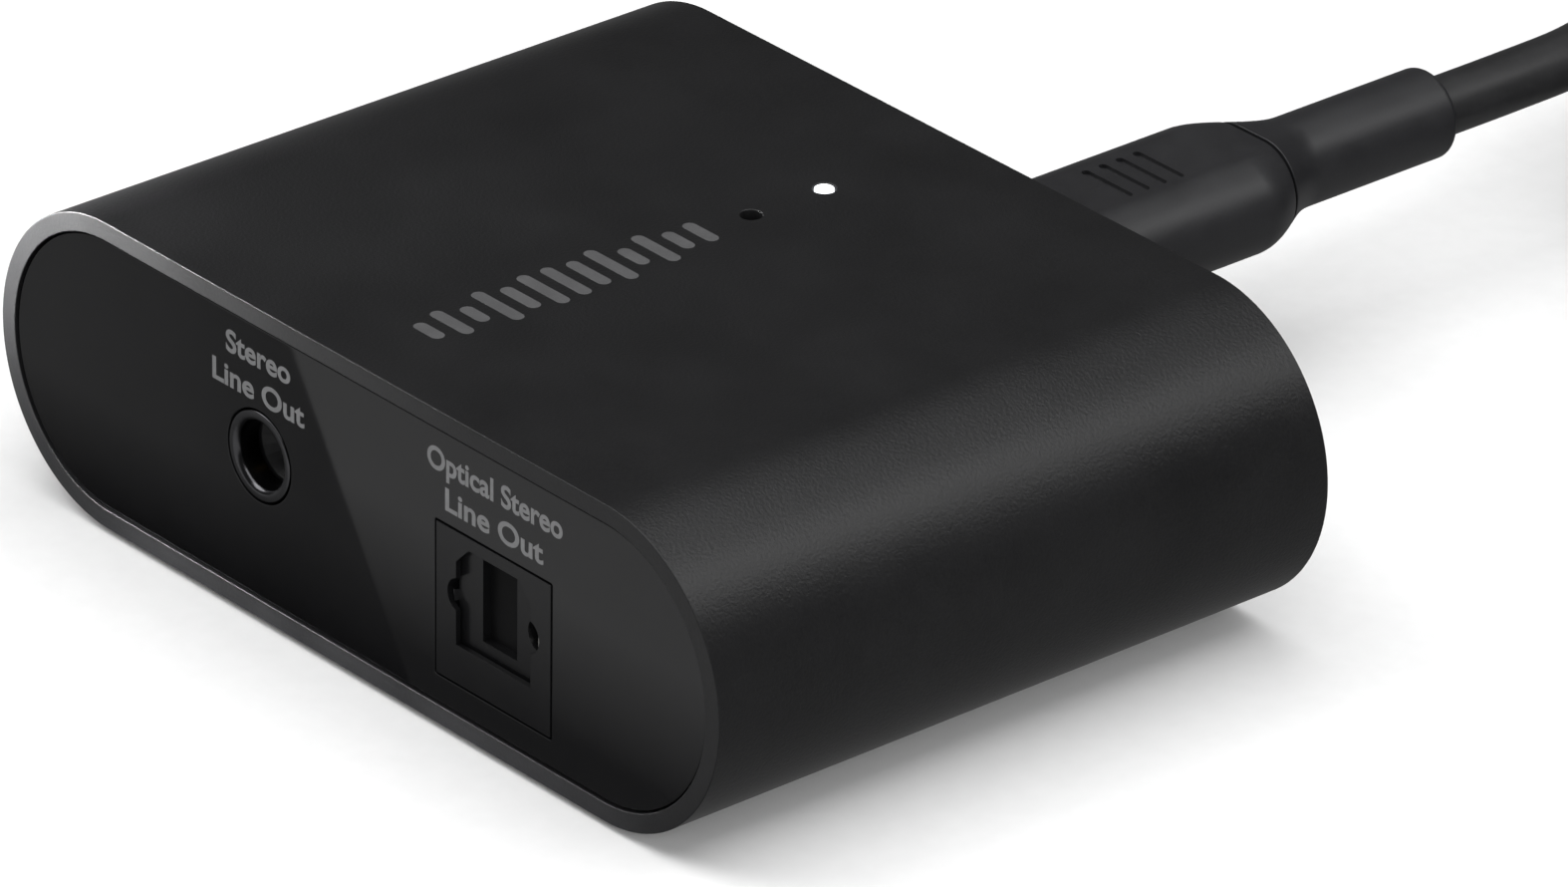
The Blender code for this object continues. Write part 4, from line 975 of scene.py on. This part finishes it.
def row_tree():
    """Flat bars with round corners, one at each step of a row."""
    tree = bpy.data.node_groups.new("bar_row", "GeometryNodeTree")
    sockets = (
        ("Count", "NodeSocketInt"),
        ("Step", "NodeSocketVector"),
        ("Start", "NodeSocketVector"),
        ("Width", "NodeSocketFloat"),
        ("Length", "NodeSocketFloat"),
        ("Corner", "NodeSocketFloat"),
        ("Thickness", "NodeSocketFloat"),
        ("Finish", "NodeSocketMaterial"),
    )
    for name, kind in sockets:
        tree.interface.new_socket(name, in_out="INPUT", socket_type=kind)
    tree.interface.new_socket("Geometry", in_out="OUTPUT", socket_type="NodeSocketGeometry")
    asked = add(tree, "NodeGroupInput").outputs
    inputs = {"Count": asked["Count"], "Start Location": asked["Start"], "Offset": asked["Step"]}
    line = add(tree, "GeometryNodeMeshLine", inputs, mode="OFFSET")
    inputs = {"Width": asked["Width"], "Height": asked["Length"]}
    outline = add(tree, "GeometryNodeCurvePrimitiveQuadrilateral", inputs).outputs["Curve"]
    inputs = {"Curve": outline, "Count": 6, "Radius": asked["Corner"], "Limit Radius": True}
    corners = add(tree, "GeometryNodeFilletCurve", inputs, mode="POLY")
    face = add(tree, "GeometryNodeFillCurve", {"Curve": corners.outputs["Curve"]}).outputs["Mesh"]
    under = add(tree, "GeometryNodeFlipFaces", {"Mesh": face})
    inputs = {"Mesh": face, "Offset Scale": asked["Thickness"], "Individual": False}
    raised = add(tree, "GeometryNodeExtrudeMesh", inputs)
    both = add(tree, "GeometryNodeJoinGeometry")
    tree.links.new(raised.outputs["Mesh"], both.inputs["Geometry"])
    tree.links.new(under.outputs["Mesh"], both.inputs["Geometry"])
    inputs = {"Geometry": both.outputs["Geometry"], "Distance": 1e-7}
    welded = add(tree, "GeometryNodeMergeByDistance", inputs)
    inputs = {"Points": line.outputs["Mesh"], "Instance": welded.outputs["Geometry"]}
    bars = add(tree, "GeometryNodeInstanceOnPoints", inputs)
    real = add(tree, "GeometryNodeRealizeInstances", {"Geometry": bars.outputs["Instances"]})
    inputs = {"Geometry": real.outputs["Geometry"], "Material": asked["Finish"]}
    painted = add(tree, "GeometryNodeSetMaterial", inputs)
    add(tree, "NodeGroupOutput", {"Geometry": painted.outputs["Geometry"]})
    return tree


BAR_ROW = row_tree()


def bar_row(name, **values):
    """A row of bars as a plain mesh object, from the row tree."""
    mesh = bpy.data.meshes.new(name)
    obj = bpy.data.objects.new(name, mesh)
    bpy.context.scene.collection.objects.link(obj)
    maker = obj.modifiers.new("row", "NODES")
    maker.node_group = BAR_ROW
    for item in BAR_ROW.interface.items_tree:
        if item.in_out == "INPUT":
            maker[item.identifier] = values[item.name]
    settled(obj)
    shade(obj.data)
    return obj


# ================================================================ prints


def wave_mark():
    """A plain sound-wave mark printed on the top: a row of rounded bars of different lengths.

    Each bar is shortened in its straight part, so that its round ends keep their shape."""
    middle = (BARS - 1) / 2
    sunk = MARK_RISE / 3
    mark = bar_row(
        "wave_mark",
        Count=BARS,
        Step=(0.0, BAR_STEP, 0.0),
        Start=(MARK_X, BAR_FIRST_Y, TOP_Z - sunk),
        Width=BAR_L,
        Length=BAR_W,
        Corner=BAR_CORNER,
        Thickness=MARK_RISE + sunk,
        Finish=mark_ink(),
    )
    per_bar = len(mark.data.vertices) // BARS
    fall, least, beat, start = 0.45, 0.4, 1.35, 0.5
    for i, vertex in enumerate(mark.data.vertices):
        bar = i // per_bar
        fade = 1 - fall * (abs(bar - middle) / middle) ** 2
        swell = (least + (1 - least) * abs(math.sin(beat * bar + start))) * fade
        side = vertex.co.x - MARK_X
        vertex.co.x = MARK_X + side - math.copysign(BAR_STRAIGHT * (1 - swell), side)
    return give(mark, RECEIVER, "housing_abs")


def legend(name, words, x, base_z, width):
    """A line of print on the front panel: a thin raised film of ink of a given width."""
    curve = bpy.data.curves.new(name, "FONT")
    curve.body = words
    curve.align_x = "CENTER"
    curve.size = 1.0
    bolder = 0.025
    curve.offset = bolder
    text = bpy.data.objects.new(name, curve)
    bpy.context.scene.collection.objects.link(text)
    bpy.context.view_layer.update()
    depsgraph = bpy.context.evaluated_depsgraph_get()
    mesh = bpy.data.meshes.new_from_object(text.evaluated_get(depsgraph))
    bpy.data.objects.remove(text, do_unlink=True)
    cap_share = 0.79
    tall = LEGEND_CAP / cap_share
    left = min(v.co.x for v in mesh.vertices)
    right = max(v.co.x for v in mesh.vertices)
    wide = width / (right - left)
    lift = 0.012 * MM
    for vertex in mesh.vertices:
        across = (vertex.co.x - (left + right) / 2) * wide
        vertex.co = (x + across, PORT_Y - lift, base_z + vertex.co.y * tall)
    bm = bmesh.new()
    bm.from_mesh(mesh)
    bmesh.ops.remove_doubles(bm, verts=bm.verts, dist=1e-7)
    bmesh.ops.recalc_face_normals(bm, faces=bm.faces)
    for face in bm.faces:
        if face.normal.y > 0:
            face.normal_flip()
    faces = list(bm.faces)
    raised = bmesh.ops.extrude_face_region(bm, geom=faces)
    moved = [v for v in raised["geom"] if isinstance(v, bmesh.types.BMVert)]
    bmesh.ops.translate(bm, verts=moved, vec=(0.0, 1.5 * lift, 0.0))
    bmesh.ops.recalc_face_normals(bm, faces=bm.faces)
    printed = solid(name, bm, printed_ink())
    return give(printed, RECEIVER, "panel_gloss")


# ================================================================ power lead


def step_up(t):
    """Smooth change from 0 to 1."""
    t = min(1.0, max(0.0, t))
    return t * t * (3 - 2 * t)


def oval(width, height, x, z, steps=32):
    """Outline with two round ends whose count of points is the same down to a plain circle."""
    radius = height / 2
    points = []
    for side in (1, -1):
        for i in range(steps):
            turn = side * math.pi / 2 * (2 * (i + 0.5) / steps - 1)
            across = x + side * (width / 2 - radius + radius * math.cos(turn))
            points.append((across, z + radius * math.sin(turn)))
    return points


def moulding_ring(width, height, along, at, x, z, sink=0.0):
    """A ring of a plug's skin, which goes from its flat body to its round relief."""
    share = step_up(along / SHOULDER_L)
    w = width + (2 * RELIEF_R - width) * share - 2 * sink
    h = height + (2 * RELIEF_R - height) * share - 2 * sink
    return ring(oval(w, h, x, z), "Y", at)


def plug_skin(prefix, x, z, face, width, height, length, relief, finish, grips, tongue):
    """A plug's front and rear mouldings, with the groove between them and a soft-edged relief."""
    shoulder = face + length
    steps = 16
    lip = SEAM_LIP
    front = [ring(oval(*tongue, x, z), "Y", y) for y in (face - NECK_L, face)]
    for drop, y in arc(PLUG_FACE_ROUND, face + PLUG_FACE_ROUND, PLUG_FACE_ROUND, -math.pi / 2, -math.pi, 6):
        front.append(ring(oval(width - 2 * drop, height - 2 * drop, x, z), "Y", y))
    front.append(ring(oval(width, height, x, z), "Y", face + PLUG_FACE_ROUND + GUARD))
    end = SEAM_AT - SEAM_GAP
    for i in range(steps + 1):
        along = (end - lip) * i / steps
        front.append(moulding_ring(width, height, along, shoulder + along, x, z))
    for drop, along in arc(lip, end - lip, lip, math.pi, math.pi / 2, 4):
        front.append(moulding_ring(width, height, along, shoulder + along, x, z, drop))
    front_piece = solid(f"{prefix}_grip", loft(front), finish, 50.0)
    if grips:
        shaped(front_piece, grips, "DIFFERENCE", 50.0)
    begin = SEAM_AT + SEAM_GAP
    core = (end - GUARD, begin)
    rear = [moulding_ring(width, height, along, shoulder + along, x, z, SEAM_DEPTH) for along in core]
    for drop, along in arc(lip, begin + lip, lip, -math.pi / 2, -math.pi, 4):
        rear.append(moulding_ring(width, height, along, shoulder + along, x, z, drop))
    for i in range(1, steps + 1):
        along = begin + lip + (SHOULDER_L - begin - lip) * i / steps
        rear.append(moulding_ring(width, height, along, shoulder + along, x, z))
    stop = shoulder + SHOULDER_L + relief
    across = 2 * RELIEF_R
    rear.append(ring(oval(across, across, x, z), "Y", stop - RELIEF_ROUND - GUARD))
    for drop, y in arc(RELIEF_ROUND, stop - RELIEF_ROUND, RELIEF_ROUND, math.pi, math.pi / 2, 8):
        rear.append(ring(oval(across - 2 * drop, across - 2 * drop, x, z), "Y", y))
    neck = CORD_D - 2 * SEAM_DEPTH
    rear += [ring(oval(neck, neck, x, z), "Y", y) for y in (stop, stop + NECK_L)]
    rear_piece = solid(f"{prefix}_strain_relief", loft(rear), finish, 50.0)
    return front_piece, rear_piece


def usb_c_plug():
    """The USB-C plug's mouldings, with grip grooves across the top of the front one."""
    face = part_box("usb_c_plug_overmould")[0].y
    z = centre_of("usb_c_plug_overmould").z
    top = z + PLUG_H / 2
    grips = []
    for i in range(GRIPS):
        groove = rounded(0.0, face + GRIP_AT + GRIP_STEP * i, GRIP_L, GRIP_W, GRIP_W / 2, 6)
        grips.append(prism(groove, "Z", top - GRIP_DEPTH, top + 1.0 * MM))
    size = (PLUG_W, PLUG_H, PLUG_L, RELIEF_L)
    grip, relief = plug_skin("usb_c_plug", 0.0, z, face, *size, moulded_tpe(), grips, USB_C_NECK)
    give(grip, LEAD, "cord_pvc", "usb_c_plug_overmould")
    give(relief, LEAD, "cord_pvc", "usb_c_plug_relief")
    return [grip, relief]


def usb_a_plug():
    """The USB-A plug's mouldings, its pressed shell with four windows, and its four contacts."""
    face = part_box("usb_a_plug_overmould")[0].y
    x, _, z = centre_of("usb_a_plug_overmould")
    size = (USBA_W, USBA_H, USBA_L, USBA_RELIEF_L)
    grip, relief = plug_skin("usb_a_plug", x, z, face, *size, moulded_tpe(), [], USB_A_NECK)
    give(grip, LEAD, "cord_pvc", "usb_a_plug_overmould")
    give(relief, LEAD, "cord_pvc", "usb_a_plug_relief")
    low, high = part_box("usb_a_plug_shell")
    wall = USBA_WALL
    outer = rounded(x, z, high.x - low.x, high.z - low.z, 2 * wall, 6)
    inner = rounded(x, z, high.x - low.x - 2 * wall, high.z - low.z - 2 * wall, 1.5 * wall, 6)
    shell = solid("usb_a_shell", tube(outer, inner, "Y", low.y, high.y), nickel_plate())
    windows = []
    for side in (-1, 1):
        for zone in ((z, high.z + wall), (low.z - wall, z)):
            at = (x + side * USBA_WINDOW_X, low.y + USBA_WINDOW_Y)
            spot = rounded(*at, USBA_WINDOW, USBA_WINDOW, 0.2 * MM, 3)
            windows.append(prism(spot, "Z", *zone))
    shaped(shell, windows, "DIFFERENCE")
    give(shell, LEAD, "steel", "usb_a_plug_shell")
    block_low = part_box("usb_a_contact_block")[0]
    first_x = x - CONTACT_STEP * (CONTACTS - 1) / 2
    proud = 0.05 * MM
    contacts = bar_row(
        "usb_a_contacts",
        Count=CONTACTS,
        Step=(CONTACT_STEP, 0.0, 0.0),
        Start=(first_x, block_low.y + CONTACT_Y, block_low.z - proud),
        Width=CONTACT_W,
        Length=CONTACT_L,
        Corner=CONTACT_CORNER,
        Thickness=CONTACT_T,
        Finish=gold_plate(),
    )
    give(contacts, LEAD, "contact_gold")
    return [grip, relief, shell, contacts]


def smooth_route(points, parts=6):
    """Points on a Catmull-Rom curve through a route's own points."""
    route = [Vector(p) for p in points]
    ends = [2 * route[0] - route[1]] + route + [2 * route[-1] - route[-2]]
    fine = []
    for a, b, c, d in zip(ends, ends[1:], ends[2:], ends[3:]):
        for i in range(parts):
            t = i / parts
            bend = (2 * a - 5 * b + 4 * c - d) * t ** 2 + (3 * b - a - 3 * c + d) * t ** 3
            fine.append((2 * b + (c - a) * t + bend) / 2)
    return fine + [route[-1]]


def coil_point(turn):
    """The cord's centre after some turns of the coil."""
    done = turn - COIL_SHIFT_AT
    number = min(len(COIL_PLACES) - 2, max(0, math.floor(done + 0.5)))
    share = step_up((done - number) / COIL_SHIFT_SPAN + 0.5)
    column_a, layer_a = COIL_PLACES[number]
    column_b, layer_b = COIL_PLACES[number + 1]
    column = column_a + (column_b - column_a) * share
    layer = layer_a + (layer_b - layer_a) * share
    radius = COIL_R + (column - 1) * CORD_D
    angle = 2 * math.pi * (COIL_START_TURN - turn)
    return Vector((
        COIL_AT[0] + radius * math.cos(angle),
        COIL_AT[1] + radius * math.sin(angle),
        COIL_LOW_Z + layer * CORD_D,
    ))


def cord_path():
    """The whole lead: out of the relief, round the coil, and on to the far plug."""
    per_turn = 40
    margin = 2
    count = round(COIL_TURNS * per_turn)
    coil = [coil_point(i / per_turn) for i in range(margin, count - margin + 1)]
    lead = smooth_route(CORD_LEAD + (tuple(coil[0]),))
    tail = smooth_route((tuple(coil[-1]),) + CORD_TAIL)
    return lead[:-1] + coil + tail[1:]


def power_cord():
    """The whole lead as one smooth cord, from the strain relief through the coil to the far plug."""
    path = cord_path()
    curve = bpy.data.curves.new("supply_cord", "CURVE")
    curve.dimensions = "3D"
    curve.bevel_depth = CORD_D / 2
    curve.bevel_resolution = 8
    curve.use_fill_caps = True
    spline = curve.splines.new("POLY")
    spline.points.add(len(path) - 1)
    for place, point in zip(spline.points, path):
        place.co = (*point, 1.0)
    spline.use_smooth = True
    curve.materials.append(soft_pvc())
    cord = bpy.data.objects.new("supply_cord", curve)
    bpy.context.scene.collection.objects.link(cord)
    give(cord, LEAD, "cord_pvc", "power_cord", "power_cord_coil", "power_cord_tail")
    return cord


def coil_tie():
    """The closed strap round the coil's band, with soft edges."""
    low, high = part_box("cord_tie")
    middle = centre_of("cord_tie")
    corner = CORD_D / 2 + STRAP_T
    depth = high.y - low.y
    height = high.z - low.z
    rings = []
    section = ((0.0, low.x), (0.0, high.x), (STRAP_T, high.x), (STRAP_T, low.x))
    for inset, at in softened(section, STRAP_EDGE, 3):
        size = (depth - 2 * inset, height - 2 * inset)
        outline = rounded(middle.y, middle.z, *size, corner - inset, 8)
        rings.append(ring(outline, "X", at))
    strap = solid("coil_strap", loft(rings, closed=True), woven_nylon())
    give(strap, LEAD, "tie_strap", "cord_tie")
    return strap


# ================================================================ inside


def paint(node, finish):
    """Gives a carried-over node a finish."""
    mesh = frame["nodes"][node].data
    mesh.materials.clear()
    mesh.materials.append(finish)


PCB_SCREWS = [f"pcb_screw_{number}" for number in range(1, 5)]
STEELWORK = ("shutter_spring", "usb_c_shell", "usb_c_plug_shell")


def inside():
    """Finishes of the pieces that keep the frame's own shape."""
    finishes = {
        inner_abs(): ("chassis_tray",),
        zinc_plate(): ("base_weight", "base_screw_1", "base_screw_2", *PCB_SCREWS),
        solder_mask(): ("main_pcb", "radio_module"),
        nickel_plate(): ("radio_shield", "clock_crystal", "antenna_plate", "reset_switch", *STEELWORK),
        chip_epoxy(): ("processor", "flash_chip", "audio_dac", "power_regulator"),
        ferrite(): ("power_inductor",),
        can_aluminium(): ("capacitor_1", "capacitor_2"),
        socket_nylon(): ("jack_body", "usb_c_insulator", "usb_a_contact_block"),
        gold_plate(): ("jack_sleeve_contact", "jack_ring_contact", "jack_tip_contact"),
        clear_acrylic(): ("optical_emitter", "status_led"),
        satin_abs(): ("reset_plunger",),
    }
    for finish, nodes in finishes.items():
        for node in nodes:
            paint(node, finish)


# ================================================================ stage


def floor():
    """White seamless paper. The black pieces don't mirror it; the card and the studio do that."""
    bm = block(about(0.0, FLOOR_SIZE), about(0.0, FLOOR_SIZE), (-FLOOR_T, -FLOOR_DROP))
    ground = solid("floor", bm, pale_paper())
    ground.visible_glossy = False
    return ground


def blank_material(name):
    """A material without nodes, and its tree."""
    made = bpy.data.materials.new(name)
    made.use_nodes = True
    made.node_tree.nodes.clear()
    return made, made.node_tree


def far_paper():
    """The paper's far part and its upturned edge, lit evenly for the camera and for nothing else."""
    made, tree = blank_material("far_paper")
    coords = add(tree, "ShaderNodeTexCoord").outputs["Object"]
    away = add(tree, "ShaderNodeVectorMath", {0: coords}, operation="LENGTH").outputs["Value"]
    inputs = {"Value": away, "From Min": PAPER_CLEAR_R, "From Max": PAPER_FULL_R}
    cover = add(tree, "ShaderNodeMapRange", inputs)
    clear = add(tree, "ShaderNodeBsdfTransparent")
    lit = add(tree, "ShaderNodeEmission", {"Strength": 1.0})
    inputs = {0: cover.outputs["Result"], 1: clear.outputs[0], 2: lit.outputs[0]}
    mixed = add(tree, "ShaderNodeMixShader", inputs)
    add(tree, "ShaderNodeOutputMaterial", {"Surface": mixed.outputs[0]})
    wall_r = PAPER_OUTER_R + PAPER_BEND
    section = [(r, PAPER_Z) for r in (PAPER_INNER_R, PAPER_OUTER_R)]
    section += [(wall_r, z) for z in (PAPER_BEND, PAPER_TOP)]
    bm = loft([ring(circle(r), "Z", z) for r, z in section])
    caps = [face for face in bm.faces if len(face.verts) > 4]
    bmesh.ops.delete(bm, geom=caps, context="FACES")
    paper = solid("far_paper", bm, made)
    for ray in ("diffuse", "glossy", "transmission", "volume_scatter", "shadow"):
        setattr(paper, f"visible_{ray}", False)
    return paper


def painted_reflection_card():
    """A glowing card low in front of the ports, seen only as a reflection: its glow is a painted reflection
    of the floor before them.

    It darkens towards the receiver as painted shade and has a straight edge across it. Left of that it is
    dim, and fades to the right; near the receiver the dim side darkens too, as painted shade."""
    made, tree = blank_material("painted_reflection_card")
    coords = add(tree, "ShaderNodeTexCoord").outputs["Object"]
    place = add(tree, "ShaderNodeSeparateXYZ", {"Vector": coords})
    place_x = place.outputs["X"]
    place_y = place.outputs["Y"]

    def spread(value, start, end, low, high):
        inputs = {"Value": value, "From Min": start, "From Max": end, "To Min": low, "To Max": high}
        return add(tree, "ShaderNodeMapRange", inputs).outputs[0]

    def math_node(operation, *values):
        return add(tree, "ShaderNodeMath", dict(enumerate(values)), operation=operation).outputs[0]

    # painted shade: the glow is darkest near the ports, as the floor in the receiver's contact shadow
    rise = spread(place_y, PORT_Y - CARD_NEAR, PORT_Y - CARD_FAR, CARD_NEAR_SHADE, CARD_LIGHT)
    along = Vector(CARD_EDGE_ALONG).normalized()
    side = math_node("MULTIPLY_ADD", place_y, along.x, math_node("MULTIPLY", place_x, -along.y))
    edge = CARD_EDGE_AT[1] * along.x - CARD_EDGE_AT[0] * along.y
    lit = spread(side, edge - CARD_EDGE, edge + CARD_EDGE, 0.0, 1.0)
    leaning = math_node("MULTIPLY_ADD", place_y, -CARD_LEAN, place_x)
    shift = CARD_LEAN * PORT_Y
    fade = spread(leaning, DIM_FROM - shift, DIM_TO - shift, DIM_LIGHT, DIM_DARK)
    # painted shade: the dim side darkens near the ports too
    fall = spread(place_y, PORT_Y - DIM_NEAR, PORT_Y - DIM_FAR, DIM_NEAR_SHADE, 1.0)
    dim = math_node("MULTIPLY", fade, fall)
    strength = math_node("MULTIPLY_ADD", math_node("SUBTRACT", rise, dim), lit, dim)
    glow = add(tree, "ShaderNodeEmission", {"Strength": strength})
    add(tree, "ShaderNodeOutputMaterial", {"Surface": glow.outputs["Emission"]})
    bm = block(CARD_X, (CARD_FRONT_Y, PORT_Y - CARD_CLEAR), CARD_Z)
    card = solid("painted_reflection_card", bm, made)
    card.visible_camera = False
    card.visible_diffuse = False
    card.visible_shadow = False
    card.visible_transmission = False
    return card


def world():
    """A dim room over a lighter ground, as the glossy pieces mirror it."""
    scene = bpy.context.scene
    made = bpy.data.worlds.new("studio")
    made.use_nodes = True
    tree = made.node_tree
    background = tree.nodes["Background"]
    background.inputs["Color"].default_value = (1.0, 1.0, 1.0, 1.0)
    coords = add(tree, "ShaderNodeTexCoord").outputs["Generated"]
    height = add(tree, "ShaderNodeSeparateXYZ", {"Vector": coords}).outputs["Z"]
    span = {"Value": height, "From Min": -HORIZON, "From Max": HORIZON}
    level = add(tree, "ShaderNodeMapRange", {**span, "To Min": GROUND_LIGHT, "To Max": SKY_LIGHT})
    tree.links.new(level.outputs["Result"], background.inputs["Strength"])
    scene.world = made
    scene.view_settings.view_transform = "Standard"
    scene.view_settings.look = "None"


def lights():
    """The softboxes, of which the fills aren't mirrored, and two small lights of the sleeve alone."""
    for name, (at, *size_and_power) in SOFTBOXES.items():
        light = softbox(name, at, (0.0, 0.0, MID_Z), *size_and_power)
        light.visible_glossy = not name.endswith("fill")
    rim_only = bpy.data.collections.new("rim_only")
    rim_only.objects.link(bpy.data.objects["housing_sleeve"])
    glow = softbox("rim_glow", *RIM_GLOW)
    bounce = softbox("floor_bounce", *FLOOR_BOUNCE)
    for light in (glow, bounce):
        light.light_linking.receiver_collection = rim_only
        light.visible_camera = False
    bounce.visible_glossy = False


# ================================================================ the whole

place_camera()
plug_pieces = usb_c_plug() + usb_a_plug()
plug_pieces += [coil_tie(), frame["nodes"]["usb_c_plug_shell"], frame["nodes"]["usb_a_contact_block"]]
power_cord()
housing_sleeve()
foot()
gloss_panel()
back_panel()
jack_nose()
optical_bezel()
spring_door()
latch_springs()
light_lens()
wave_mark()
for line_name, line in LEGENDS.items():
    legend(line_name, *line)
inside()
world()
floor()
far_paper()
painted_reflection_card()
lights()
